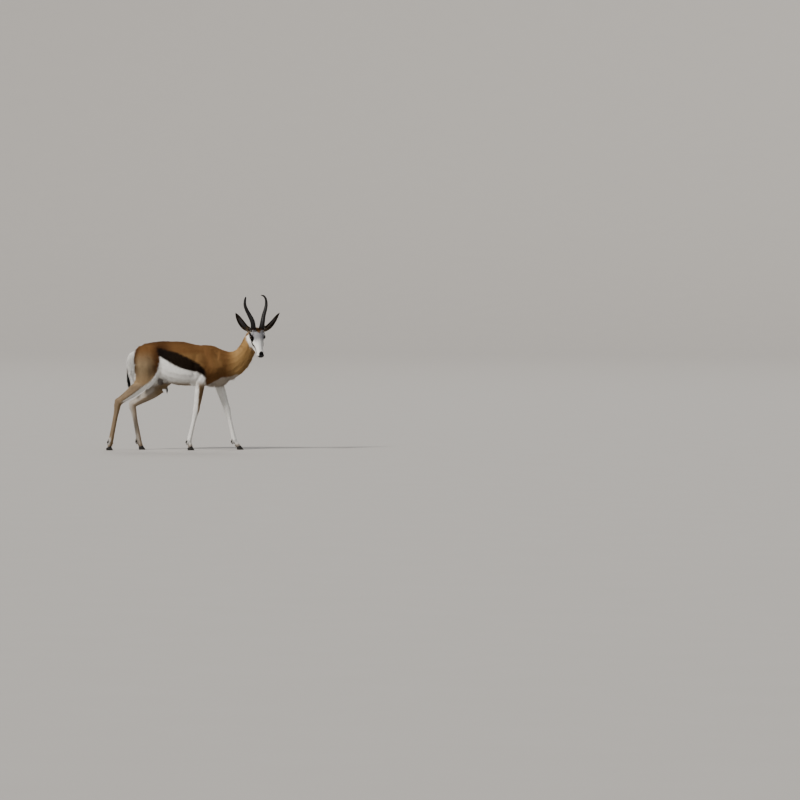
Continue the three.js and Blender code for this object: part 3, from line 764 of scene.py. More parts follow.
def one_surface(mesh):
    """The triangles as one closed surface of even faces."""
    whole = put_in_scene("springbok_skin", mesh)
    remesh = whole.modifiers.new("Even faces", "REMESH")
    remesh.mode = "VOXEL"
    remesh.voxel_size = SKIN_GRAIN
    evaluated = whole.evaluated_get(bpy.context.evaluated_depsgraph_get())
    surface = bpy.data.meshes.new_from_object(evaluated)
    whole.modifiers.clear()
    whole.data = surface
    bpy.data.meshes.remove(mesh)
    return whole


def coat_depth(points):
    """How far the skin lies under the tips of the coat, in millimetres."""
    at = places(points)
    on_legs = np.any(list(at["legs"].values()), axis=0)
    depth = np.where(on_legs, 2.0 + 2.5 * ease(300, 480, at["body"][:, 2]), 4.5)
    depth = depth * (1 - at["on_head"]) + 1.6 * at["on_head"]
    return np.where(at["on_tail"] > 0.5, 2.0, depth)


def raise_forms(points, normals):
    """How far each skin point moves along its normal for the bones and muscles under it, in millimetres."""
    at = places(points)
    body, head = at["body"], at["head"]
    squared = unswung(body)
    lift = np.zeros(len(points))
    lateral = ease(0.15, 0.6, np.abs(normals[:, 1])) * (1 - at["on_head"])
    above = ease(425, 470, body[:, 2])
    for line, radius, height in SIDE_FORMS:
        lift += height * swell(line_gap(squared[:, [0, 2]], line), radius) * lateral * above
    x = squared[:, 0] + 0.35 * (squared[:, 2] - 640)
    ribs = ease(RIBS["from"] - 30, RIBS["from"] + 30, x) * ease(RIBS["to"] + 20, RIBS["to"] - 20, x)
    ribs *= ease(520, 580, squared[:, 2]) * ease(745, 700, squared[:, 2])
    lift += RIBS["height"] * np.sin(x * 2 * math.pi / RIBS["spacing"]) * ribs * lateral
    for leg, on_leg in at["legs"].items():
        lift += leg_forms(body, leg) * on_leg
    for line, radius, height in HEAD_FORMS:
        lift += height * swell(line_gap(on_left(head), line), radius) * at["on_head"]
    lift += 2.0 * swell(line_gap(body, WINDPIPE), 26) * (1 - at["on_head"])
    return lift - 3.0 * swell(line_gap(body[:, [0, 2]], NECK_GROOVE), 13) * lateral


def leg_forms(body, leg):
    """What the bones and tendons of one leg add to its surface."""
    line = leg_line(leg)
    forms = HIND_FORMS if leg.startswith("hind") else FORE_FORMS
    lift = np.zeros(len(body))
    for row, radius, height in forms:
        spots = []
        for place, ahead, outside in row:
            joint = min(int(place), len(line) - 2)
            bone = line[joint + 1] - line[joint]
            forward = np.cross(unit(bone), [0.0, 1.0, 0.0])
            forward = unit(forward) * np.sign(forward[0])
            spot = line[joint] + bone * (place - joint) + forward * ahead
            spots.append(spot + (0, LEG_HAND[leg] * outside, 0))
        lift += height * swell(line_gap(body, spots), radius)
    return lift


def refine(mesh, chosen):
    """Divides the faces whose points are all chosen."""
    bm = bmesh.new()
    bm.from_mesh(mesh)
    edges = [edge for edge in bm.edges if chosen[edge.verts[0].index] and chosen[edge.verts[1].index]]
    bmesh.ops.subdivide_edges(bm, edges=edges, cuts=1, use_grid_fill=True)
    bm.to_mesh(mesh)
    bm.free()


def eye_offset(points, hand):
    """Points about one eye, and their distance from its centre and angle from the way it looks."""
    offset = head_mm(points) * (1, hand, 1) - EYE_CENTRE
    distance = np.linalg.norm(offset, axis=1)
    angle = np.arccos(np.clip(offset @ EYE_AXIS / np.maximum(distance, 1e-6), -1, 1))
    return offset, distance, angle


# The opening between the lids, as directions about the way the eye looks: towards the nose and upwards
CORNER_WAY = np.array([1.0, 0.0, -0.32])
EYE_FRONT = unit(CORNER_WAY - EYE_AXIS * (CORNER_WAY @ EYE_AXIS))
EYE_UP = np.cross(EYE_FRONT, EYE_AXIS)
LID_STEPS = 56
# The lids from inside their edge outwards: radius beyond the eyeball and angle beyond the edge
LIDS = [
    (-0.8, -0.05), (0.15, -0.03), (0.9, -0.01), (1.7, 0.03), (2.3, 0.10), (2.5, 0.20), (1.9, 0.27),
    (2.4, 0.36), (2.2, 0.5), (1.2, 0.66), (-1.6, 0.85),
]


def lid_angle(turn):
    """How far from the way the eye looks the lids' edge lies, for a turn from the front corner upwards."""
    across, up = np.cos(turn), np.sin(turn)
    height = np.where(up > 0, 0.74, 0.62)
    return 1.16 * np.abs(across) ** 1.6 + height * np.abs(up) ** 0.9 * (1 - 0.18 * np.abs(across))


def beyond_lids(offset, angle):
    """How far from the lids' edge points about an eye lie, as an angle."""
    level = offset - (offset @ EYE_AXIS)[:, None] * EYE_AXIS
    return angle - lid_angle(np.arctan2(level @ EYE_UP, level @ EYE_FRONT))


def eyelids(hand):
    """A ring of skin round one eye, from inside the lids' edge out to where it sinks into the face."""
    turns = circle(LID_STEPS)
    round_eye = np.cos(turns)[:, None] * EYE_FRONT + np.sin(turns)[:, None] * EYE_UP
    rings = []
    for beyond, wider in LIDS:
        angle = lid_angle(turns) + wider
        way = np.cos(angle)[:, None] * EYE_AXIS + np.sin(angle)[:, None] * round_eye
        rings.append(EYE_CENTRE + way * (EYE_RADIUS + beyond))
    points = np.vstack(rings) * (1, hand, 1)
    faces = [face[::hand] for face in ring_faces(len(LIDS), LID_STEPS)]
    rim = np.repeat([1.0 + (beyond < 1.5 and wider < 0.06) for beyond, wider in LIDS], LID_STEPS)
    return from_head(points), faces, {"ear_share": np.full(len(points), -1.0), "lid": rim}


# Ears: share of the length, half width, and half the angle that the leaf wraps
EAR = [
    (0, 13, 2.5), (0.12, 17.5, 2.2), (0.28, 22.5, 1.75), (0.45, 25, 1.4),
    (0.62, 23.5, 1.15), (0.78, 18.5, 1.0), (0.91, 11, 0.95), (1, 2.2, 0.9),
]
EAR_LENGTH = 190
EAR_BOW = 14
EAR_WALL = 2.6
EAR_RINGS = 44
EAR_EDGE = 15


def ear_root(hand):
    """Where an ear leaves the head."""
    return from_head([(-65, hand * 45, -8)])[0]


def ear_run(hand):
    """The way from an ear's root to its tip."""
    return unit(np.array([-98.0, hand * 131.0, 98.0]) @ HEAD_AXES)


def ear_frame(hand):
    """The way an ear opens, across it, and the way it bows."""
    run = ear_run(hand)
    opening = FACING * 0.9 + LEFTWARD * hand * 0.5 + np.array([0, 0, -0.2])
    opening = unit(opening - run * (opening @ run))
    bow = NOSEWARD * 0.8 + LEFTWARD * hand * 0.6
    return run, opening, np.cross(run, opening), bow


def ear_leaf(hand):
    """One ear as a rolled leaf: its points, its faces, and where each point is on the leaf."""
    root = ear_root(hand)
    run, opening, across, bow = ear_frame(hand)
    rings, notes = [], []
    for share, half, wrap in smooth_rows(EAR, EAR_RINGS):
        radius = half / math.sin(min(wrap, math.pi / 2)) - 1.0
        bowed = bow * EAR_BOW * math.sin(math.pi * share)
        spine = root + (run * share * EAR_LENGTH + bowed - opening * radius / 2) * MM
        turns = wrap * np.linspace(-1, 1, EAR_EDGE)
        wall = min(EAR_WALL, radius * 0.5) * (1 - 0.55 * (turns / wrap) ** 4)
        ridges = 0.5 * np.cos(turns * 9) * (1 - (turns / wrap) ** 2) * min(1, 6 * share)
        size = np.concatenate([np.full(EAR_EDGE, radius), (radius - wall - ridges)[::-1]])
        turns = np.concatenate([turns, turns[::-1]])
        out = opening * (radius - size * np.cos(turns))[:, None] + across * (size * np.sin(turns))[:, None]
        rings.append(spine + out * MM)
        inside = np.cos(turns / wrap * math.pi / 2)
        inside[:EAR_EDGE] = 0
        notes.append(np.column_stack([np.full(2 * EAR_EDGE, share), turns / wrap, inside]))
    corners = 2 * EAR_EDGE
    faces = ring_faces(EAR_RINGS, corners)
    for first, way in ((0, -1), ((EAR_RINGS - 1) * corners, 1)):
        for i in range(EAR_EDGE - 1):
            face = (first + i, first + i + 1, first + corners - 2 - i, first + corners - 1 - i)
            faces.append(face[::way])
    share, turn, inside = np.vstack(notes).T
    return np.vstack(rings), faces, {"ear_share": share, "ear_turn": turn, "ear_inside": inside}


NOT_SKIN = ("hoof", "dewclaw", "eye", "horn", "ear")  # nodes that the skin isn't grown from


def build_skin():
    """One closed skin for all the flesh, with the bones, muscles and folds that show, and its markings."""
    flesh = [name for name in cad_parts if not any(word in name for word in NOT_SKIN)]
    skin = one_surface(flesh_soup(flesh))
    mesh = skin.data
    points = points_of(mesh)
    pairs = edge_pairs(mesh)
    at = places(points)
    broad = np.clip(1 - at["on_head"] - at["on_tail"], 0, 1) * ease(430, 520, at["body"][:, 2])
    points = relax(points, pairs, 0.35 + 0.65 * broad, 6)
    points = relax(points, pairs, broad, 24)
    points -= normals_of(mesh, points) * (coat_depth(points) * MM)[:, None]
    points = relax(points, pairs, 0.3 + 0.7 * broad, 3)
    normals = normals_of(mesh, points)
    points += normals * (raise_forms(points, normals) * MM)[:, None]
    normals_of(mesh, points)
    refine(mesh, at["on_head"] > 0.4)
    shape_face(mesh)
    join_ears_and_lids(mesh)
    paint_skin(mesh)
    return declare(skin, "brown_coat", *flesh, "ear_left", "ear_right")


def shape_face(mesh):
    """Refines the muzzle and the eyes, and draws the nostrils, mouth and the dip behind each lid."""
    points = points_of(mesh)
    on_head = places(points)["on_head"] > 0.3
    muzzle = on_head & (head_mm(points)[:, 0] > 96)
    points = relax(points, edge_pairs(mesh), on_head.astype(float), 3)
    normals_of(mesh, points)
    eyes = np.zeros(len(points), bool)
    for hand in HANDS:
        _, distance, angle = eye_offset(points, hand)
        eyes |= (distance < 27) & (angle < 1.9)
    refine(mesh, muzzle | eyes)
    points = points_of(mesh)
    fine = (head_mm(points)[:, 0] > 94) & (places(points)["on_head"] > 0.3)
    points = relax(points, edge_pairs(mesh), fine.astype(float), 3)
    normals = normals_of(mesh, points)
    head = head_mm(points)
    lift = np.zeros(len(points))
    for line, radius, height in FACE_LINES:
        lift += height * swell(line_gap(on_left(head), line), radius) * (head[:, 0] > 90)
    points += normals * (lift * MM)[:, None]
    for hand in HANDS:
        offset, distance, angle = eye_offset(points, hand)
        beyond = beyond_lids(offset, angle)
        height = np.interp(beyond, [0.16, 0.42, 0.64, 0.85], [-3.5, 0.6, 1.7, 2.0])
        moved = from_head((EYE_CENTRE + unit(offset) * (EYE_RADIUS + height)[:, None]) * (1, hand, 1))
        pull = ease(0.95, 0.62, beyond) * ease(EYE_RADIUS + 16, EYE_RADIUS + 10, distance)
        points = blend(points, moved, pull)
    normals_of(mesh, points)


# What is noted for each point of the skin: its place along an ear and round it, how far inside, and on a lid
SKIN_NOTES = ("ear_share", "ear_turn", "ear_inside", "lid")


def join_ears_and_lids(mesh):
    """Joins the ears and lids to the skin, and notes what each point of it is."""
    bm = bmesh.new()
    bm.from_mesh(mesh)
    layers = {name: bm.verts.layers.float.new(name) for name in SKIN_NOTES}
    for vert in bm.verts:
        vert[layers["ear_share"]] = -1
    for hand in HANDS:
        points, faces, notes = ear_leaf(hand)
        add_sheet(bm, layers, points, [face[::-hand] for face in faces], notes)
        add_sheet(bm, layers, *eyelids(hand))
    bm.to_mesh(mesh)
    bm.free()
    shade_smooth(mesh)
    mesh.update()


def add_sheet(bm, layers, points, faces, notes):
    """Adds a sheet of faces to a mesh being made, with the numbers that it notes for each point."""
    made = [bm.verts.new(point) for point in points]
    for name, values in notes.items():
        for vert, value in zip(made, values):
            vert[layers[name]] = value
    for face in faces:
        bm.faces.new([made[i] for i in face])


def paint_skin(mesh):
    """Keeps the markings and the bare places on the skin's points."""
    points = points_of(mesh)
    colour = markings(points, normals_of(mesh, points))
    share = noted(mesh, "ear_share")
    ear = paint_ear(share, noted(mesh, "ear_turn"), noted(mesh, "ear_inside"))
    lid = noted(mesh, "lid")
    colour = np.where((share >= 0)[:, None], ear, colour)
    paint_points(mesh, paint(colour, ("black", 0.95 * (lid > 0) * ease(0.9, 1.6, lid))))
    note_points(mesh, "bare", np.maximum(bare_skin(points), 0.35 * ease(1.3, 1.9, lid)))
    note_points(mesh, "streak", streaks(points))


def streaks(points):
    """Where skin points lie along the hair and round the body, in millimetres."""
    at = places(points)
    body, head = at["body"], at["head"]
    count = len(points)
    place, turn = unwrap(body, SPINE)
    streak = np.column_stack([place * 1400, turn * 2 * math.pi * 120, np.zeros(count)])
    for leg, on_leg in at["legs"].items():
        place, turn = unwrap(body, leg_line(leg))
        down = np.column_stack([place * 700, turn * 2 * math.pi * 18, np.full(count, 50.0)])
        streak = np.where(on_leg[:, None], down, streak)
    turn = np.arctan2(head[:, 1], head[:, 2] + 20)
    face = np.column_stack([head[:, 0], turn * 36, np.full(count, 90.0)])
    return np.where(at["on_head"][:, None] > 0.5, face, streak)


def bare_skin(points):
    """How bare the nose and lips are at scene points."""
    head = head_mm(points)
    nose = ease(1.0, 0.85, from_centre(head, (153, 0, -3), (16, 18, 14)))
    lips = ease(2.4, 0.8, line_gap(on_left(head), MOUTH_LINE)) * (head[:, 0] > 96)
    return np.maximum(nose, lips)


def paint_ear(share, turn, inside):
    """An ear's colours: dark inside, partly its own dark skin and partly painted shade in the hollow, with
    black edges and tip, a greyer middle, and cream behind.
    """
    edge = np.abs(turn)
    back = paint(
        all_of("ear_back", len(share)),
        ("white", 0.6 * ease(0.3, 0.05, share)),
        ("black", 0.97 * ease(0.34, 0.56, edge) * ease(0.1, 0.24, share)),
        ("black", 0.85 * ease(0.84, 0.97, share)),
    )
    front = paint(
        # the inside: its own dark grey skin, darkened further as painted shade in the hollow
        all_of("ear_inside", len(share)),
        ("grey", 0.4 * ease(0.5, 0.15, edge) * ease(0.85, 0.6, share)),
        ("grey", 0.4 * ease(0.26, 0.1, share)),
        ("black", 0.95 * ease(0.5, 0.72, edge) * ease(0.06, 0.2, share)),
        ("black", 0.8 * ease(0.84, 0.95, share)),
    )
    return blend(back, front, inside)


def point_on(line, place):
    """The points on a line at shares of its length."""
    line = np.asarray(line, float)
    lengths = np.linalg.norm(np.diff(line, axis=0), axis=1)
    stops = np.concatenate([[0], np.cumsum(lengths)]) / lengths.sum()
    return np.column_stack([np.interp(place, stops, line[:, axis]) for axis in range(line.shape[1])])


def unwrap(points, line):
    """Where points lie on a surface slit along its underside and laid flat: along the line, and round it."""
    _, place, run = along(points, line)
    offset = points - point_on(line, place)
    over = np.cross(run, (0.0, 1.0, 0.0))
    over *= np.where(over[:, 2:] < 0, -1, 1)
    turn = np.arctan2(offset[:, 1], np.sum(offset * over, axis=1)) / (2 * math.pi) + 0.5
    return place, turn


# Eyes


EYE_GRID = (40, 56)  # rings and corners of an eyeball


def build_eyes():
    """Two eyeballs with a clear bulge over a dark iris and a level oval pupil."""
    made = []
    rings, corners = EYE_GRID
    theta = np.linspace(0.02, math.pi - 0.02, rings)
    turns = circle(corners)
    radius = EYE_RADIUS - 0.3 + 1.2 * ease(0.72, 0.35, theta)
    across = np.cos(turns)[:, None] * EYE_FRONT + np.sin(turns)[:, None] * EYE_UP
    way = np.cos(theta)[:, None, None] * EYE_AXIS + np.sin(theta)[:, None, None] * across
    for side, hand in SIDES:
        points, quads, caps = tube((EYE_CENTRE + way * radius[:, None, None]) * (1, hand, 1))
        eye = tube_object("eyeball_" + side, from_head(points), quads, caps)
        offset = (head_mm(points_of(eye.data)) * (1, hand, 1) - EYE_CENTRE) / EYE_RADIUS
        note_points(eye.data, "gaze", offset @ np.column_stack([EYE_FRONT, EYE_UP, EYE_AXIS]))
        made.append(declare(eye, "eye", "eye_" + side))
    return made


# Horns: distance towards the nose, from the midline and out of the forehead, share of the base thickness
HORN = [
    (-52, 29, 13, 0.97), (-61, 31, 24, 1.0), (-74, 34, 39, 1.0), (-94, 38, 53, 0.96), (-118, 44, 62, 0.9),
    (-158, 58, 67, 0.8), (-196, 75, 76, 0.7), (-232, 86, 87, 0.59), (-265, 85, 101, 0.48),
    (-289, 76, 102, 0.36), (-301, 67, 90, 0.22), (-306, 62, 80, 0.07),
]
HORN_BASE = (23, 18)  # fore-and-aft and sideways radius where a horn leaves the skull
HORN_RINGS = 19
RINGED = (0.09, 0.69)  # shares of a horn's length between which it is ringed
TIP_SKEW = 12  # how far the left tip is moved away from the nose, and the right tip towards it
HORN_GRID = (260, 40)  # rings and corners of a horn


def horn_ridge(place):
    """How far a horn's rings stand out, from 0 to 1: blunt ridges, wide at the base and close above."""
    first, last = RINGED
    share = np.clip((place - first) / (last - first), 0, 1)
    wave = np.sin(math.pi * HORN_RINGS * share**0.86)
    return np.abs(wave) ** 0.7 * ease(0, 0.03, share) * ease(1.0, 0.86, share)


def build_horns():
    """Two lyre-shaped horns, ringed on the lower two thirds, with smooth tips hooked in and back."""
    made = []
    count, corners = HORN_GRID
    rows = smooth_rows(HORN, count)
    step = np.linspace(0, 1, count)
    turns = circle(corners)
    ridge = horn_ridge(step)[:, None] * (0.72 + 0.28 * np.cos(turns))
    furrow = 0.006 * np.sin(turns * 11 + 5 * step[:, None]) * ease(0.9, 0.5, step)[:, None]
    size = rows[:, 3:4] * (0.955 + 0.075 * ridge + furrow)
    fore = HORN_BASE[0] * size * np.cos(turns)
    out = HORN_BASE[1] * size * np.sin(turns)
    leftward = np.array([0.0, 1.0, 0.0])
    for side, hand in SIDES:
        centres = rows[:, :3] * (1, hand, 1)
        centres[:, 0] -= hand * TIP_SKEW * step**3
        runs = unit(np.gradient(centres, axis=0))
        across = unit(leftward - runs * (runs @ leftward)[:, None])
        ahead = np.cross(runs, across)
        rings = centres[:, None] + ahead[:, None] * fore[..., None] + across[:, None] * out[..., None]
        points, quads, caps = tube(rings)
        horn = tube_object("horn_sheath_" + side, from_head(points), quads, caps)
        place = np.concatenate([np.repeat(step, corners), [0, 1]])
        note_points(horn.data, "place", place)
        note_points(horn.data, "ridge", horn_ridge(place))
        made.append(declare(horn, "horn", "horn_" + side))
    return made


# Hooves. A claw's level slices: share of the height, heel and toe as shares of the length, share of the
# half width, lean towards the cleft, and share of the forward reach
CLAW = np.array([
    (0, -0.48, 0.52, 1, 0, 1), (0.25, -0.5, 0.46, 1, 0.1, 0.85),
    (0.6, -0.44, 0.34, 0.95, 0.6, 0.5), (1.1, -0.34, 0.25, 0.84, 1.4, 0),
])
HOOF_LENGTH, HOOF_WIDTH, HOOF_HEIGHT, HOOF_CLEFT = 48, 17.5, 34, 2.4
CORONET_SLOPE = 0.36  # rise of the coronet from heel to toe
# How far the claws of each foot reach ahead of the coronet, and how many degrees they turn out
REACH = {
    "hindleg_right": (3, 4), "hindleg_left": (10, 6), "foreleg_right": (5, 4), "foreleg_left": (14, 6),
}
CLAW_CORNERS = 40
# A dewclaw: distance behind the back of the fetlock and above its joint, half thickness and half width
DEWCLAW = [
    (-7, 1, 5.0, 4.6), (-4, -3, 6, 5.6), (0, -8, 5.8, 5.4), (2.5, -12.5, 4.6, 4.2), (3.6, -15, 2.4, 2.2),
]
DEWCLAW_GAP = 9  # from the middle of the leg to each dewclaw's
FETLOCK_BACK = {"hind": 22.5, "fore": 21.5}  # from the fetlock's joint to its back


def build_hoof(leg, side):
    """One claw of a foot, its wall ringed by growth and its sole flat."""
    reach, toe_out = REACH[leg]
    turned = math.radians(toe_out) * LEG_HAND[leg]
    ahead = np.array([math.cos(turned), math.sin(turned), 0])
    across = np.array([-ahead[1], ahead[0], 0])
    x, y, height = leg_line(leg)[-1]
    turns = circle(CLAW_CORNERS)
    c, s = np.cos(turns), np.sin(turns)
    power = np.where(c > 0, 2 / 1.6, 2 / 2.4)
    rings = []
    for stop in (0, 0.012, 0.03, *np.linspace(0.06, 1.0, 26)):
        level = np.full(CLAW_CORNERS, stop * height)
        growth = 1 + 0.004 * math.sin(stop * 34) * (0.1 < stop < 0.95)
        edge = 1 - 0.05 * (1 - min(stop / 0.03, 1)) ** 2 - 0.2 * max(0, (stop - 0.86) / 0.14) ** 2
        for _ in range(3):
            share = level / HOOF_HEIGHT
            heel, toe, wide, lean, forward = (np.interp(share, CLAW[:, 0], column) for column in CLAW.T[1:])
            half = (toe - heel) / 2 * HOOF_LENGTH * edge * growth
            fore = (heel + toe) / 2 * HOOF_LENGTH + reach * forward + np.sign(c) * np.abs(c) ** power * half
            out = side * (HOOF_WIDTH / 2 + HOOF_CLEFT / 2 - lean) + s * HOOF_WIDTH / 2 * wide * edge * growth
            level = stop * (height + CORONET_SLOPE * fore)
        rings.append((x, y, 0) + fore[:, None] * ahead + out[:, None] * across + level[:, None] * (0, 0, 1.0))
    points, quads, caps = tube(rings)
    return scene_m(points), quads, caps


def build_dewclaw(leg, side):
    """One dewclaw behind a fetlock."""
    x, y, z = leg_line(leg)[3]
    turns = circle(20)
    fore, out = np.cos(turns)[:, None] * (0.76, 0, -0.65), np.sin(turns)[:, None] * (0, 1.0, 0)
    rings = []
    for behind, above, thick, wide in smooth_rows(DEWCLAW, 14):
        centre = np.array([x - FETLOCK_BACK[leg[:4]] - behind, y + side * DEWCLAW_GAP, z + above])
        rings.append(centre + fore * thick + out * wide)
    points, quads, caps = tube(rings)
    return scene_m(points), quads, caps


def build_hooves():
    """The claws and dewclaws of all four feet."""
    made = []
    for leg in LEG_JOINTS:
        for side, hand in SIDES:
            for kind, build in (("hoof", build_hoof), ("dewclaw", build_dewclaw)):
                node = f"{leg}_{kind}_{side}"
                made.append(declare(tube_object(node + "_horn", *build(leg, hand)), "hoof", node))
    return made


# Coat

# tufts for each square metre, length, share of the length that is its width, and degrees that it stands off
COAT = {
    "coat_hindquarters": (110000, 15, 0.12, 6),
    "coat_flanks": (110000, 14, 0.12, 6),
    "coat_chest": (110000, 15, 0.12, 6),
    "coat_neck": (160000, 15, 0.11, 5),
    "coat_head": (520000, 5.5, 0.14, 6),
    "coat_ears": (380000, 5, 0.16, 6),
    "coat_forelegs": (230000, 9, 0.13, 6),
    "coat_hindlegs": (230000, 9, 0.13, 6),
    "coat_tail": (420000, 12, 0.10, 9),
}
BROWN_COATS = ("coat_hindquarters", "coat_flanks", "coat_chest", "coat_neck")
MOST_TUFTS = 32500  # keeps a piece of coat under 200,000 triangles
MOST_WIDTH = 1.8
PATCH = 0.003  # width of a tuft's patch on the unwrap
TUFT_FACES = np.array([(0, 3, 1), (0, 2, 3), (0, 1, 2), (4, 1, 3), (4, 3, 2), (4, 2, 1)])
TUFT_SHADES = np.array([0.92, 0.98, 0.98, 1.02, 1.08])
TUFT_PATCH = np.array([(0, -0.5), (0.5, 0), (-0.5, 0), (0, 0), (0, 0.5)]) * PATCH


def regions(points, ear_share):
    """Which piece of coat each scene point belongs to, as its place in the table."""
    at = places(points)
    body = at["body"]
    on = {
        "coat_hindquarters": body[:, 0] < -205,
        "coat_chest": body[:, 0] > 70,
        "coat_neck": (body - (288, 0, 640)) @ (0.93, 0, 0.36) > 0,
    }
    for leg, on_leg in at["legs"].items():
        name = "coat_" + leg[:4] + "legs"
        on[name] = on.get(name, False) | (on_leg & (body[:, 2] < 455))
    on["coat_tail"] = at["on_tail"] > 0.5
    on["coat_head"] = at["on_head"] > 0.5
    on["coat_ears"] = ear_share >= 0
    names = list(COAT)
    region = np.full(len(points), names.index("coat_flanks"))
    for name, inside in on.items():
        region[inside] = names.index(name)
    return region


def in_pieces(region, *names):
    """Whether each place belongs to one of the named pieces of coat."""
    return np.isin(region, [list(COAT).index(name) for name in names])


def hair_size(points, region):
    """The length of the tufts at scene points, in millimetres."""
    at = places(points)
    body, head = at["body"], at["head"]
    height = body[:, 2]
    length = np.array([row[1] for row in COAT.values()], float)[region]
    length *= 1 + 0.35 * ease(-400, -450, body[:, 0]) * ease(560, 640, height) * (at["on_head"] < 0.5)
    on_leg = 0.8 + 0.6 * ease(250, 460, height) + 0.2 * ease(70, 30, height)
    length = np.where(in_pieces(region, "coat_forelegs", "coat_hindlegs"), length * on_leg, length)
    on_face = 1 + 0.9 * ease(-20, -60, head[:, 0]) + 0.5 * ease(-50, -90, head[:, 2])
    on_face *= 1 - 0.45 * ease(70, 120, head[:, 0])
    for hand in HANDS:
        on_face *= 1 - 0.5 * ease(32, 18, eye_offset(points, hand)[1])
    return np.where(in_pieces(region, "coat_head"), length * on_face, length)


def coat_cover(points, lid, region):
    """Where the coat grows, as a share of its density."""
    cover = (1 - ease(0.15, 0.4, bare_skin(points))) * (lid < 1.5)
    for hand in HANDS:
        offset, distance, angle = eye_offset(points, hand)
        hidden = (distance < EYE_RADIUS + 5) & (beyond_lids(offset, angle) < 0.16)
        cover = np.where(hidden & in_pieces(region, "coat_head"), 0, cover)
    return cover


def scatter(mesh, rng, thin):
    """Seeded roots over the skin: their points, normals, pieces of coat, and colours of the skin there."""
    mesh.calc_loop_triangles()
    corners = read(mesh.loop_triangles, "vertices", 3, int)
    points = points_of(mesh)
    normals = normals_of(mesh, points)
    lid, share = noted(mesh, "lid"), noted(mesh, "ear_share")
    a, b, c = points[corners.T]
    area = np.linalg.norm(np.cross(b - a, c - a), axis=1) / 2
    middle = points[corners].mean(1)
    region = regions(middle, share[corners].min(1))
    density = np.array([row[0] for row in COAT.values()], float)[region]
    wanted = area * density * coat_cover(middle, lid[corners].max(1), region) * thin
    for i in range(len(COAT)):
        total = wanted[region == i].sum()
        wanted[region == i] *= min(1, MOST_TUFTS * thin / max(total, 1))
    ends = np.cumsum(wanted)
    count = int(ends[-1])
    pick = np.searchsorted(ends, (np.arange(count) + rng.random(count)) * ends[-1] / count)
    pick = np.minimum(pick, len(corners) - 1)
    first, second = rng.random(count), rng.random(count)
    over = first + second > 1
    first[over], second[over] = 1 - first[over], 1 - second[over]
    weights = np.column_stack([1 - first - second, first, second])[:, :, None]
    colour = read(mesh.color_attributes["coat_colour"].data, "color", 4)[:, :3]
    notes = np.column_stack([share, noted(mesh, "ear_turn"), noted(mesh, "ear_inside")])
    roots, ways, colour, notes = (
        (rows[corners[pick]] * weights).sum(1) for rows in (points, normals, colour, notes)
    )
    return roots, unit(ways), region[pick], colour, notes


def hair_piece(name, points, faces, colours, unwrapped, patch):
    """A piece of many like tufts, each laid as a small patch at its root's place on the unwrap."""
    count, per = points.shape[:2]
    faces = (faces[None] + per * np.arange(count)[:, None, None]).reshape(-1, 3)
    piece = mesh_object(name, points.reshape(-1, 3), faces)
    paint_points(piece.data, colours.reshape(-1, 3))
    spots = (np.clip(unwrapped, PATCH, 1 - PATCH)[:, None] + patch[None]).reshape(-1, 2)
    layer = piece.data.uv_layers.new(name="OFBake")
    layer.data.foreach_set("uv", spots[faces.ravel()].astype(np.float32).ravel())
    return piece


def tufts(name, roots, normals, lies, lengths, widths, lifts, colours, unwrapped):
    """A piece of coat: a flat pointed tuft on each root, closed, thickest two fifths of the way along."""
    sides = np.cross(normals, lies)
    lengths, widths, lifts = lengths[:, None] * MM, widths[:, None] * MM, lifts[:, None]
    low = lies * np.cos(lifts * 1.3) + normals * np.sin(lifts * 1.3)
    high = lies * np.cos(lifts) + normals * np.sin(lifts)
    middle = roots + low * lengths * 0.4
    points = np.stack([
        roots - normals * 0.4 * MM,
        middle + sides * widths / 2,
        middle - sides * widths / 2,
        middle + normals * widths * 0.3,
        roots + high * lengths,
    ], axis=1)
    bends = np.stack([
        normals, normals + sides * 0.55, normals - sides * 0.55, normals, normals + lies * 0.35,
    ], axis=1)
    shaded = colours[:, None] * TUFT_SHADES[None, :, None]
    piece = hair_piece(name, points, TUFT_FACES, shaded, unwrapped, TUFT_PATCH)
    piece.data.normals_split_custom_set_from_vertices(unit(bends.reshape(-1, 3)).astype(np.float32))
    return piece


def unwrap_roots(name, points, notes):
    """Where the roots of one piece of coat lie on the unwrap of its stretch of skin."""
    body = body_mm(points)
    if name == "coat_ears":
        share, turn, inside = notes.T
        quarter = 0.5 * (body[:, 1] > HEAD_ORIGIN[1]) + 0.25 * (inside > 0.3)
        return np.column_stack([share, quarter + 0.23 * (turn * 0.5 + 0.5)])
    if name == "coat_head":
        head = head_mm(points)
        turn = np.arctan2(head[:, 1], head[:, 2] + 20) / (2 * math.pi) + 0.5
        return np.column_stack([(head[:, 0] + 110) / 270, turn])
    if name in ("coat_forelegs", "coat_hindlegs"):
        found = np.zeros((len(points), 2))
        for leg, hand in LEG_HAND.items():
            if leg[:4] == name[5:9]:
                mine = body[:, 1] * hand > 0
                place, turn = unwrap(body[mine], leg_line(leg))
                found[mine] = np.column_stack([place, 0.49 * turn + 0.5 * (hand > 0)])
        return found
    return np.column_stack(unwrap(body, TAIL_LINE if name == "coat_tail" else SPINE))


EAR_MIDDLE = HEAD_ORIGIN[1] + 40  # the line between the ears, measured from the midline


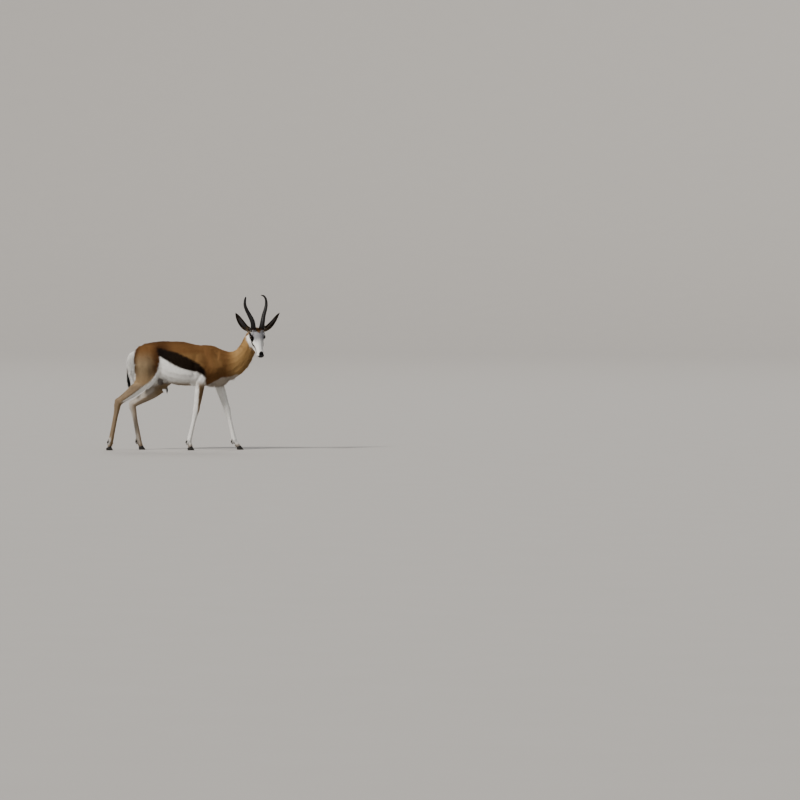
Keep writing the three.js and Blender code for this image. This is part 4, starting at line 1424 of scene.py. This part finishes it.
def build_coat(skin, settings):
    """Short tufts over the whole skin, a piece for each part of the body."""
    rng = np.random.default_rng(settings.seed)
    thin = settings.fullness * 1
    roots, normals, region, skin_colours, notes = scatter(skin.data, rng, thin)
    lies = lie_of_coat(roots, normals)
    ear = notes[:, 0] >= 0
    for hand in HANDS:
        lies[ear & ((body_mm(roots)[:, 1] > EAR_MIDDLE) == (hand > 0))] = ear_run(hand)
    lies = flat_on(lies, normals)
    stray = rng.normal(0, settings.stray, len(roots))[:, None]
    lies = lies * np.cos(stray) + np.cross(normals, lies) * np.sin(stray)
    drift = rng.normal(0, 3.2 * MM, roots.shape) * np.where(in_pieces(region, "coat_head"), 0.35, 1)[:, None]
    colours = np.where(ear[:, None], skin_colours, markings(roots + drift, normals))
    colours = colours * (1 + rng.normal(0, 0.07, len(roots)))[:, None]
    lengths = hair_size(roots, region) * rng.uniform(0.75, 1.2, len(roots)) * settings.length
    made = []
    for name, (_, _, width, lift) in COAT.items():
        mine = in_pieces(region, name)
        widths = np.minimum(lengths[mine] * width, MOST_WIDTH) * rng.uniform(0.75, 1.2, mine.sum())
        widths = widths * 1
        lifts = np.radians(lift) * rng.uniform(0.6, 1.35, mine.sum())
        piece = tufts(
            name, roots[mine], normals[mine], lies[mine], lengths[mine], widths, lifts,
            np.clip(colours[mine], 0, 1), unwrap_roots(name, roots[mine], notes[mine]),
        )
        made.append(declare(piece, "brown_coat" if name in BROWN_COATS else "white_coat"))
    return made


# Long hair

# The points of a hair are its root, two rings of three and its tip
STRAND_RINGS = ((0.35, 1.0), (0.7, 0.75))  # place along the hair and share of its width
STRAND_SHADES = np.array([0.85, 0.95, 0.95, 0.95, 1.0, 1.0, 1.0, 1.15])
STRAND_PATCH = PATCH * np.array([
    (0, -0.5), (0.4, -0.15), (-0.4, -0.15), (0, -0.15), (0.3, 0.2), (-0.3, 0.2), (0, 0.2), (0, 0.5),
])
STRAND_FACES = np.array([
    (0, 3, 1), (0, 2, 3), (0, 1, 2), (7, 4, 6), (7, 6, 5), (7, 5, 4),
    (1, 3, 6), (1, 6, 4), (3, 2, 5), (3, 5, 6), (2, 1, 4), (2, 4, 5),
])


def strands(name, roots, ways, lengths, widths, bends, colours, unwrapped):
    """Long hairs as thin three-sided locks: each leaves its root one way and bends towards another."""
    lengths, widths = lengths[:, None] * MM, widths[:, None] * MM
    sides = unit(np.cross(ways, bends + np.array([0.01, 0.02, 0.03])))
    tops = np.cross(ways, sides)
    points = [roots]
    for reach, share in STRAND_RINGS:
        centre = roots + ways * lengths * reach + bends * lengths * reach**2
        out = sides * widths * share / 2
        points += [centre + out, centre - out, centre + tops * widths * share * 0.6]
    points.append(roots + ways * lengths + bends * lengths)
    shaded = np.clip(colours[:, None] * STRAND_SHADES[None, :, None], 0, 1)
    return hair_piece(name, np.stack(points, axis=1), STRAND_FACES, shaded, unwrapped, STRAND_PATCH)


class HairGrower:
    """Gathers long hairs from chosen places of the skin, and makes them into one piece."""

    def __init__(self, skin, rng):
        self.points = points_of(skin.data)
        self.normals = normals_of(skin.data, self.points)
        self.lies = lie_of_coat(self.points, self.normals)
        self.at = places(self.points)
        self.share, self.turn, self.inside, self.lid = (noted(skin.data, name) for name in SKIN_NOTES)
        self.colour = markings(self.points, self.normals)
        self.rng = rng
        self.rows = []

    def grow(self, part, weight, count, length, width, lift, bend, colour=None, way=None):
        """Adds hairs where the weight is high, lying and coloured as the coat unless told otherwise."""
        rng = self.rng
        count = max(8, int(count * (1)))
        ends = np.cumsum(np.maximum(weight, 0))
        assert ends[-1] > 0, f"no place for the long hair of {part}"
        pick = np.searchsorted(ends, rng.random(count) * ends[-1])
        lies = self.lies[pick] if way is None else np.tile(unit(np.asarray(way, float)), (count, 1))
        lies = unit(lies + rng.normal(0, 0.13, (count, 3)))
        lifted = np.radians(lift) * rng.uniform(0.5, 1.4, count)
        ways = unit(lies * np.cos(lifted)[:, None] + self.normals[pick] * np.sin(lifted)[:, None])
        roots = self.points[pick] + rng.normal(0, 1.0 * MM, (count, 3)) - self.normals[pick] * 0.5 * MM
        colours = self.colour[pick] if colour is None else all_of(colour, count)
        colours = colours * rng.normal(1, 0.1, (count, 1))
        bends = np.asarray(bend, float) + rng.normal(0, 0.05, (count, 3))
        lengths = np.broadcast_to(length, len(self.points))[pick] * rng.uniform(0.65, 1.15, count)
        widths = width * rng.uniform(0.8, 1.2, count)
        self.rows.append((roots, ways, lengths, widths, bends, colours))

    def gather(self, name, coat):
        """Makes the hairs grown so far into one piece, on the unwrap of the given piece of coat."""
        rows = [np.concatenate(column) for column in zip(*self.rows)]
        self.rows = []
        unwrapped = unwrap_roots(coat, rows[0], np.zeros(rows[0].shape))
        return declare(strands(name, *rows, unwrapped), "white_coat")


def build_long_hair(skin, settings):
    """The tail's tuft, the crest and rump, the throat and brisket, the forelock, ear fringes and lashes."""
    grower = HairGrower(skin, np.random.default_rng(settings.seed + 1))
    skin_only = (grower.share < 0) & (grower.lid == 0)
    grow_tail(grower, skin_only)
    made = [grower.gather("long_hair_tail", "coat_tail")]
    grow_body(grower, skin_only)
    made.append(grower.gather("long_hair_body", "coat_flanks"))
    grow_head(grower, skin_only)
    made.append(grower.gather("long_hair_head", "coat_head"))
    grow_ears(grower)
    made.append(grower.gather("long_hair_ears", "coat_ears"))
    grow_lashes(grower)
    made.append(grower.gather("eyelashes", "coat_head"))
    grow_feet(grower, skin_only)
    made.append(grower.gather("long_hair_feet", "coat_forelegs"))
    return made


def grow_tail(grower, skin_only):
    """The black tuft of the tail and the short hair above it."""
    tail, place = grower.at["on_tail"] * skin_only, grower.at["tail_place"]
    tuft = tail * ease(0.42, 0.62, place)
    grower.grow("tail", tuft, 300, 30 + 70 * (1 - place), 0.9, 3, (0.03, 0, -0.02), "black", (0.05, 0, -1))
    grower.grow("tail", tail * ease(0.45, 0.2, place), 500, 14, 1.1, 10, (0, 0, -0.3))


def grow_body(grower, skin_only):
    """The longer hair of the trunk and neck."""
    at, body, normals = grower.at, grower.at["body"], grower.normals
    x, out, z = body[:, 0], np.abs(body[:, 1]), body[:, 2]
    trunk = (1 - at["on_head"]) * (1 - at["on_tail"]) * skin_only
    up = ease(0.2, 0.7, normals[:, 2])
    ahead = ease(0.2, 0.7, normals[:, 0] - 0.6 * normals[:, 2])
    crest = ease(765, 790, z) * ease(12, 4, out) * ease(-150, -220, x)
    rump = ease(-415, -440, x) * ease(540, 600, z) * ease(750, 720, z) * ease(100, 60, out)
    ham = ease(-395, -430, unswung(body)[:, 0]) * ease(450, 480, z) * ease(560, 520, z)
    belly = ease(-0.5, -0.9, normals[:, 2]) * (x > -215) * (x < 60)
    brisket = (x > 130) * (x < 320) * (z < 560) * ease(60, 25, out)
    sheath = from_centre(body, (-186, 0, 444)) < 16
    grower.grow("crest", trunk * crest, 700, 22, 1.5, 6, (0, 0, -0.04))
    grower.grow("rump", trunk * rump, 2600, 34, 1.6, 30, (-0.05, 0, -0.3), "white", (-0.35, 0, -1))
    grower.grow("ham", trunk * ham, 350, 20, 1.3, 6, (0, 0, -0.1))
    grower.grow("belly", trunk * belly, 700, 17, 1.5, 12, (-0.1, 0, -0.1))
    grower.grow("brisket", trunk * brisket, 500, 24, 1.6, 18, (-0.2, 0, -0.2))
    grower.grow("sheath", trunk * sheath, 90, 20, 0.8, 4, (0, 0, -0.1), "band", (-0.05, 0, -1))
    grower.grow("nape", trunk * (x > 300) * up * (z > 760), 350, 24, 1.6, 12, (0, 0, -0.15))
    grower.grow("throat", trunk * (x > 330) * ahead * (z > 600), 500, 22, 1.6, 14, (0, 0, -0.2))


def grow_head(grower, skin_only):
    """The forelock, the hair round the horns and on crown, jaw and chin, and the whiskers."""
    head = grower.at["head"]
    left = on_left(head)
    f, side, u = left.T
    face = grower.at["on_head"] * skin_only
    forelock = ease(22, 10, side) * ease(-24, -36, f + 0.5 * side) * ease(-84, -70, f) * (u > 10)
    from_horn = np.abs(from_centre(left, (-60, 32, 36), (26, 21, 24)) - 1)
    crown = (f < -55) * (u > -20)
    chin = (from_centre(head, (124, 0, -42)) < 24) * (u < -34)
    whiskers = (f > 110) * (f < 136) * (side > 12) * (u < 0)
    way = NOSEWARD * 0.9 + BROWWARD * 0.1
    grower.grow("forelock", face * forelock, 620, 12, 0.7, 18, NOSEWARD * 0.2, way=way)
    grower.grow("horns", face * ease(0.2, 0.05, from_horn), 620, 7, 0.6, 16, (0, 0, 0.1))
    grower.grow("crown", face * crown, 420, 12, 0.9, 20, (0, 0, -0.2))
    grower.grow("jaw", face * (u < -50) * (f < 20), 380, 8, 0.7, 8, (0, 0, -0.1))
    grower.grow("chin", face * chin, 90, 9, 0.5, 22, (0, 0, -0.3), "white")
    grower.grow("whiskers", face * whiskers, 44, 15, 0.24, 50, (0, 0, -0.3), "black")


def grow_ears(grower):
    """The fringes along the ears' edges and the tan hair low inside them."""
    share = grower.share
    for hand in HANDS:
        mine = (share >= 0) & ((grower.at["body"][:, 1] > EAR_MIDDLE) == (hand > 0))
        run, opening, across, _ = ear_frame(hand)
        for edge in (-1, 1):
            fringe = mine * (grower.turn * edge > 0.8) * ease(0.04, 0.12, share) * ease(0.6, 0.3, share)
            inward = run - across * edge * 0.3 + opening * 0.15
            grower.grow("ear fringe", fringe, 160, 9, 0.5, 4, -across * edge * 0.1, "black", inward)
        low = mine * (grower.inside > 0.2) * ease(0.45, 0.2, share) * (share > 0.06)
        grower.grow("ear hair", low, 160, 12, 0.6, 25, run * 0.2, "belly_tan", run)


def grow_lashes(grower):
    """Lashes on the upper lids."""
    for hand in HANDS:
        offset, distance, _ = eye_offset(grower.points, hand)
        rim = (grower.lid > 1.5) * (distance < 40) * (distance > EYE_RADIUS + 0.6)
        way = EYE_AXIS + 0.35 * EYE_UP + 0.1 * EYE_FRONT
        way, bend = ((part * (1, hand, 1)) @ HEAD_AXES for part in (way, EYE_UP))
        grower.grow("lashes", rim * ease(-2, 5, offset @ EYE_UP), 80, 9, 0.4, 0, bend * 0.35, "black", way)


def grow_feet(grower, skin_only):
    """The longer hair behind the fetlocks and over the hooves."""
    body = grower.at["body"]
    for leg, on_leg in grower.at["legs"].items():
        fetlock, coronet = leg_line(leg)[3:]
        mine = on_leg * skin_only
        behind = mine * (from_centre(body, fetlock + (-16, 0, 2)) < 20)
        above = body[:, 2] - coronet[2] - 8 - CORONET_SLOPE * (body[:, 0] - coronet[0])
        grower.grow("fetlock", behind, 330, 17, 0.9, 14, (0, 0, -0.1), way=(-0.25, 0, -1))
        over = mine * ease(22, 12, np.abs(above))
        grower.grow("coronet", over, 420, 11, 0.9, 12, (0, 0, -0.05), way=(0.15, 0, -1))


# Materials


class Looks:
    """A material's nodes, made one by one. A socket takes another node's output or a fixed value."""

    def __init__(self, name):
        self.material = bpy.data.materials.new(name)
        self.material.use_nodes = True
        self.tree = self.material.node_tree
        self.shader = self.tree.nodes["Principled BSDF"]

    def node(self, kind, sockets=None, **settings):
        """A node with its sockets and its settings."""
        made = self.tree.nodes.new(kind)
        for name, value in settings.items():
            setattr(made, name, value)
        self.fill(made, sockets or {})
        return made

    def fill(self, made, sockets):
        for name, value in sockets.items():
            if isinstance(value, bpy.types.NodeSocket):
                self.tree.links.new(value, made.inputs[name])
            else:
                made.inputs[name].default_value = value

    def finish(self, **sockets):
        """Sets the shader's sockets, and gives the material."""
        self.fill(self.shader, {name.replace("_", " "): value for name, value in sockets.items()})
        return self.material

    def attribute(self, name, output):
        return self.node("ShaderNodeAttribute", attribute_name=name).outputs[output]

    def noise(self, vector, scale, detail=3.0):
        sockets = {"Vector": vector, "Scale": scale, "Detail": detail}
        return self.node("ShaderNodeTexNoise", sockets).outputs["Fac"]

    def stretched(self, vector, scale):
        return self.node("ShaderNodeMapping", {"Vector": vector, "Scale": scale}).outputs["Vector"]

    def spread(self, value, low, high, start=0.0, end=1.0):
        """A number spread from one range to another."""
        sockets = {"Value": value, "From Min": start, "From Max": end, "To Min": low, "To Max": high}
        return self.node("ShaderNodeMapRange", sockets).outputs["Result"]

    def scaled(self, colour, value):
        """A colour made darker or lighter by a number."""
        sockets = {0: colour, "Scale": value}
        return self.node("ShaderNodeVectorMath", sockets, operation="SCALE").outputs["Vector"]

    def blended(self, share, first, second):
        sockets = {"Factor": share, 6: first, 7: second}
        return self.node("ShaderNodeMix", sockets, data_type="RGBA").outputs[2]

    def maths(self, operation, first, second):
        return self.node("ShaderNodeMath", {0: first, 1: second}, operation=operation).outputs[0]

    def square(self, value):
        return self.maths("POWER", value, 2.0)

    def bump(self, height, distance, strength=1.0):
        sockets = {"Height": height, "Distance": distance, "Strength": strength}
        return self.node("ShaderNodeBump", sockets).outputs["Normal"]

    def place(self):
        return self.node("ShaderNodeTexCoord").outputs["Object"]


def skin_look():
    """Short hair lying in streaks, damp pebbled skin on the nose and a soft shine on the lids."""
    looks = Looks("short_coat_over_skin")
    colour = looks.attribute("coat_colour", "Color")
    bare = looks.attribute("bare", "Fac")
    streak = looks.attribute("streak", "Vector")
    hair = looks.noise(looks.stretched(streak, (0.09, 0.9, 1.0)), 1.0, 4.0)
    patches = looks.noise(looks.place(), 45.0, 4.0)
    pebbled = looks.node("ShaderNodeTexVoronoi", {"Vector": looks.place(), "Scale": 620.0})
    shade = looks.maths("MULTIPLY", looks.spread(hair, 0.78, 1.2), looks.spread(patches, 0.92, 1.08))
    height = looks.node("ShaderNodeMix", {"Factor": bare, 2: hair, 3: pebbled.outputs["Distance"]}).outputs[0]
    return looks.finish(
        Base_Color=looks.scaled(colour, shade),
        Roughness=looks.spread(bare, 0.82, 0.36),
        Normal=looks.bump(height, 0.0012, 0.7),
        Specular_IOR_Level=looks.spread(bare, 0.08, 0.4),
    )


def coat_look(name, roughness, shine):
    """Hair in tufts: streaked along its length, a little shinier than the skin below."""
    looks = Looks(name)
    colour = looks.attribute("coat_colour", "Color")
    grain = looks.noise(looks.place(), 900.0, 2.0)
    patches = looks.noise(looks.place(), 60.0, 3.0)
    shade = looks.maths("MULTIPLY", looks.spread(grain, 0.86, 1.14), looks.spread(patches, 0.94, 1.06))
    return looks.finish(
        Base_Color=looks.scaled(colour, shade),
        Roughness=looks.spread(grain, roughness - 0.06, roughness + 0.06),
        Normal=looks.bump(grain, 0.0003, 0.4),
        Specular_IOR_Level=shine,
    )


def horn_look(settings):
    """Black horn, fibrous along its length, dull in the furrows and worn smooth on the ridges."""
    looks = Looks("ringed_horn")
    place = looks.attribute("place", "Fac")
    ridge = looks.attribute("ridge", "Fac")
    fibres = looks.noise(looks.stretched(looks.place(), (1.0, 1.0, 0.12)), 420.0, 5.0)
    clouds = looks.noise(looks.place(), 55.0, 4.0)
    cloudy = looks.spread(clouds, 0.3, 1.0, 0.35, 0.7)
    worn = looks.maths("MULTIPLY", looks.spread(ridge, 0.0, 0.75), cloudy)
    base = looks.blended(worn, (*settings.horn, 1), (0.013, 0.011, 0.010, 1))
    base = looks.blended(looks.spread(place, 0.5, 0.0, 0.05, 0.12), base, (0.05, 0.036, 0.026, 1))
    return looks.finish(
        Base_Color=looks.scaled(base, looks.spread(fibres, 0.7, 1.3)),
        Roughness=looks.spread(ridge, 0.62, 0.46),
        Normal=looks.bump(fibres, 0.0005, 0.8),
        Specular_IOR_Level=0.22,
    )


def hoof_look(settings):
    """Dark hoof, finely lined from the coronet down, scuffed and dusty towards the ground."""
    looks = Looks("dark_hoof")
    spot = looks.place()
    lines = looks.noise(looks.stretched(spot, (1.0, 1.0, 0.08)), 700.0, 4.0)
    scuffs = looks.noise(spot, 240.0, 5.0)
    height = looks.node("ShaderNodeSeparateXYZ", {"Vector": spot}).outputs["Z"]
    scuffed = looks.spread(scuffs, 0.0, 1.0, 0.45, 0.7)
    dusty = looks.maths("MULTIPLY", looks.spread(height, 0.8, 0.1, 0.0, 0.02), scuffed)
    base = looks.blended(dusty, (*settings.hoof, 1), (0.06, 0.048, 0.036, 1))
    return looks.finish(
        Base_Color=looks.scaled(base, looks.spread(lines, 0.75, 1.25)),
        Roughness=looks.spread(scuffs, 0.45, 0.66),
        Normal=looks.bump(lines, 0.0004, 0.8),
        Specular_IOR_Level=0.3,
    )


def eye_look(settings):
    """A dark brown iris, finely rayed, round a level oval pupil, under a wet clear coat."""
    looks = Looks("dark_brown_eye")
    gaze = looks.attribute("gaze", "Vector")
    parts = looks.node("ShaderNodeSeparateXYZ", {"Vector": gaze})
    level, up = parts.outputs["X"], parts.outputs["Y"]
    from_middle = looks.maths("SQRT", looks.maths("ADD", looks.square(level), looks.square(up)), 0.0)
    wide = looks.square(looks.maths("DIVIDE", level, 0.42))
    tall = looks.square(looks.maths("DIVIDE", up, 0.25))
    pupil = looks.spread(looks.maths("ADD", wide, tall), 1.0, 0.0, 0.85, 1.1)
    rays = looks.noise(gaze, 22.0, 4.0)
    rayed = looks.spread(rays, 0.0, 1.0, 0.35, 0.65)
    iris = looks.blended(rayed, (*settings.iris, 1), (0.010, 0.005, 0.002, 1))
    white = looks.spread(from_middle, 0.0, 1.0, 0.70, 0.78)
    colour = looks.blended(white, iris, (0.02, 0.013, 0.01, 1))
    colour = looks.blended(pupil, colour, (0.003, 0.003, 0.005, 1))
    return looks.finish(
        Base_Color=colour,
        Roughness=looks.spread(from_middle, 0.04, 0.12),
        Specular_IOR_Level=0.12,
        Coat_Weight=0.14,
        Coat_Roughness=0.02,
    )


def floor_look(settings):
    """A plain pale floor, faintly mottled."""
    looks = Looks("pale_floor")
    mottle = looks.noise(looks.place(), 3.0, 4.0)
    darker = [0.93 * value for value in settings.floor]
    return looks.finish(
        Base_Color=looks.blended(looks.spread(mottle, 0.0, 0.25), (*settings.floor, 1), (*darker, 1)),
        Roughness=looks.spread(mottle, 0.78, 0.9),
        Normal=looks.bump(looks.noise(looks.place(), 60.0, 4.0), 0.0005, 0.3),
    )


# Stage

FLOOR_FLAT = 38.0  # radius of the level floor, in metres, and of the wall that it curves up into
STUDIO_WALL = 60.0
FLOOR_RINGS = [0.6, 2, 6, 15, 27]  # radii of the rings on the level
VIEW_AIM = Vector((1.5355, MIDLINE, 0.37))  # where the middle of the photograph falls beside the animal
VIEW_WIDTH = 5.92  # metres across the photograph at the animal


def build_floor():
    """A wide level floor that curves up into a low round wall, so that no edge shows from any side."""
    bend = STUDIO_WALL - FLOOR_FLAT
    climb = np.linspace(0, math.pi / 2, 24)
    radius = np.concatenate([FLOOR_RINGS, FLOOR_FLAT + bend * np.sin(climb)])[:, None]
    height = np.concatenate([np.zeros(len(FLOOR_RINGS)), bend * (1 - np.cos(climb))])[:, None]
    turns = circle(96)
    heights = np.repeat(height, len(turns), 1)
    rings = np.stack([radius * np.cos(turns), radius * np.sin(turns), heights], axis=2)
    points, quads, caps = tube(rings)
    floor = tube_object("floor", points[:-1], quads, caps[::2])
    floor.data.flip_normals()
    return floor


def aim(thing, back):
    """Turns a camera or light so that it looks against the given way."""
    thing.rotation_mode = "QUATERNION"
    thing.rotation_quaternion = (-back).to_track_quat("-Z", "Y")


def build_camera(settings):
    """The camera, far off to the animal's right and just above the floor, at the photograph's framing."""
    data = bpy.data.cameras.new("camera")
    data.sensor_width = 36
    data.lens = data.sensor_width * settings.distance / VIEW_WIDTH
    data.clip_end = 1000
    camera = put_in_scene("camera", data)
    back = Vector((0, -math.cos(settings.rise), math.sin(settings.rise)))
    camera.location = VIEW_AIM + back * settings.distance
    aim(camera, back)
    bpy.context.scene.camera = camera


# Where each light comes from, how wide it looks, in degrees, its strength and its colour
LIGHTS = {
    "key": ((-0.78, -0.66, 0.95), 10, 4.4, (1.0, 0.955, 0.90)),
    "fill": ((0.9, -0.8, 0.5), 60, 0.25, (0.86, 0.93, 1.0)),
    "back": ((0.1, 0.9, 0.75), 30, 0.9, (1.0, 0.97, 0.93)),
}


def build_lights(settings):
    """Soft studio light: a key from the upper left, a weak fill, one from behind, and an even surround."""
    for name, (source, width, power, colour) in LIGHTS.items():
        data = bpy.data.lights.new(name + "_light", "SUN")
        data.angle = math.radians(width)
        data.energy = power * settings.light
        data.color = colour
        aim(put_in_scene(name + "_light", data), Vector(source))
    world = bpy.data.worlds.new("surround")
    bpy.context.scene.world = world
    world.use_nodes = True
    background = world.node_tree.nodes["Background"]
    background.inputs["Color"].default_value = (*settings.surround, 1)
    background.inputs["Strength"].default_value = settings.surround_strength


# The add-on: settings, one operator for each piece, and a panel


class SpringbokCoat(bpy.types.PropertyGroup):
    """How the coat grows."""

    seed: IntProperty(name="Seed", description="Start of the scatter's random numbers", default=7, min=0)
    fullness: FloatProperty(
        name="Fullness", description="Share of the full number of tufts", default=1.0, min=0.05, max=1.0,
        subtype="FACTOR",
    )
    length: FloatProperty(
        name="Length", description="Length of the tufts against the usual", default=1.0, min=0.2, max=2.0
    )
    stray: FloatProperty(
        name="Stray", description="How far tufts turn from the lie of the coat", default=math.radians(8),
        subtype="ANGLE",
    )


class SpringbokColours(bpy.types.PropertyGroup):
    """Colours of what isn't coat."""

    horn: FloatVectorProperty(
        name="Horn", description="Colour of the horns", default=(0.0035, 0.003, 0.003), subtype="COLOR"
    )
    hoof: FloatVectorProperty(
        name="Hoof", description="Colour of the hooves", default=(0.008, 0.0065, 0.0055), subtype="COLOR"
    )
    iris: FloatVectorProperty(
        name="Iris", description="Colour of the iris", default=(0.022, 0.010, 0.004), subtype="COLOR"
    )


class SpringbokStage(bpy.types.PropertyGroup):
    """The camera, light and floor."""

    distance: FloatProperty(
        name="Distance", description="From the camera to the animal", default=34.0, unit="LENGTH"
    )
    rise: FloatProperty(
        name="Rise", description="How far above level the camera stands", default=math.radians(1.6),
        subtype="ANGLE",
    )
    light: FloatProperty(name="Light", description="Strength of the studio lights", default=1.0, min=0.0)
    floor: FloatVectorProperty(
        name="Floor", description="Colour of the floor", default=(0.36, 0.345, 0.325), subtype="COLOR"
    )
    surround: FloatVectorProperty(
        name="Surround", description="Colour of the light all round", default=(0.78, 0.81, 0.86),
        subtype="COLOR",
    )
    surround_strength: FloatProperty(
        name="Surround strength", description="Strength of the light all round", default=0.45
    )


def assign(pieces, material):
    """Gives pieces one material."""
    for piece in pieces:
        piece.data.materials.clear()
        piece.data.materials.append(material)


class SPRINGBOK_OT_stage(bpy.types.Operator):
    """Make the floor, the camera and the lights"""

    bl_idname = "springbok.stage"
    bl_label = "Stage"

    def execute(self, context):
        settings = context.scene.springbok_stage
        assign([build_floor()], floor_look(settings))
        build_camera(settings)
        build_lights(settings)
        return {"FINISHED"}


class SPRINGBOK_OT_skin(bpy.types.Operator):
    """Make one skin with its muscles, folds, ears, lids and markings"""

    bl_idname = "springbok.skin"
    bl_label = "Skin"

    def execute(self, context):
        assign([build_skin()], skin_look())
        return {"FINISHED"}


class SPRINGBOK_OT_eyes(bpy.types.Operator):
    """Make the eyeballs"""

    bl_idname = "springbok.eyes"
    bl_label = "Eyes"

    def execute(self, context):
        assign(build_eyes(), eye_look(context.scene.springbok_colours))
        return {"FINISHED"}


class SPRINGBOK_OT_horns(bpy.types.Operator):
    """Make the ringed horns"""

    bl_idname = "springbok.horns"
    bl_label = "Horns"

    def execute(self, context):
        assign(build_horns(), horn_look(context.scene.springbok_colours))
        return {"FINISHED"}


class SPRINGBOK_OT_hooves(bpy.types.Operator):
    """Make the claws and dewclaws of the feet"""

    bl_idname = "springbok.hooves"
    bl_label = "Hooves"

    def execute(self, context):
        assign(build_hooves(), hoof_look(context.scene.springbok_colours))
        return {"FINISHED"}


class SPRINGBOK_OT_coat(bpy.types.Operator):
    """Make the short coat and the long hair. The skin comes first"""

    bl_idname = "springbok.coat"
    bl_label = "Coat"

    def execute(self, context):
        skin = bpy.data.objects.get("springbok_skin")
        if skin is None:
            raise RuntimeError("the coat grows on the skin, so make the skin first")
        settings = context.scene.springbok_coat
        assign(build_coat(skin, settings), coat_look("coat_tufts", 0.76, 0.08))
        assign(build_long_hair(skin, settings), coat_look("long_hair", 0.66, 0.12))
        return {"FINISHED"}


OPERATORS = (
    SPRINGBOK_OT_stage, SPRINGBOK_OT_skin, SPRINGBOK_OT_eyes, SPRINGBOK_OT_horns, SPRINGBOK_OT_hooves,
    SPRINGBOK_OT_coat,
)


class SPRINGBOK_PT_panel(bpy.types.Panel):
    """The settings and the pieces in the order in which they are made"""

    bl_idname = "SPRINGBOK_PT_panel"
    bl_label = "Springbok"
    bl_space_type = "VIEW_3D"
    bl_region_type = "UI"
    bl_category = "Springbok"

    def draw(self, context):
        layout = self.layout
        for name, group in PROPERTY_GROUPS.items():
            box = layout.box()
            for prop in group.__annotations__:
                box.prop(getattr(context.scene, name), prop)
        for operator in OPERATORS:
            layout.operator(operator.bl_idname)


PROPERTY_GROUPS = {
    "springbok_coat": SpringbokCoat,
    "springbok_colours": SpringbokColours,
    "springbok_stage": SpringbokStage,
}


def register():
    for group in (*PROPERTY_GROUPS.values(), *OPERATORS, SPRINGBOK_PT_panel):
        bpy.utils.register_class(group)
    for name, group in PROPERTY_GROUPS.items():
        setattr(bpy.types.Scene, name, PointerProperty(type=group))


def unregister():
    for name in PROPERTY_GROUPS:
        delattr(bpy.types.Scene, name)
    for group in reversed((*PROPERTY_GROUPS.values(), *OPERATORS, SPRINGBOK_PT_panel)):
        bpy.utils.unregister_class(group)


def main():
    register()
    bpy.ops.springbok.stage()
    bpy.ops.springbok.skin()
    bpy.ops.springbok.eyes()
    bpy.ops.springbok.horns()
    bpy.ops.springbok.hooves()
    bpy.ops.springbok.coat()


if __name__ == "__main__":
    main()
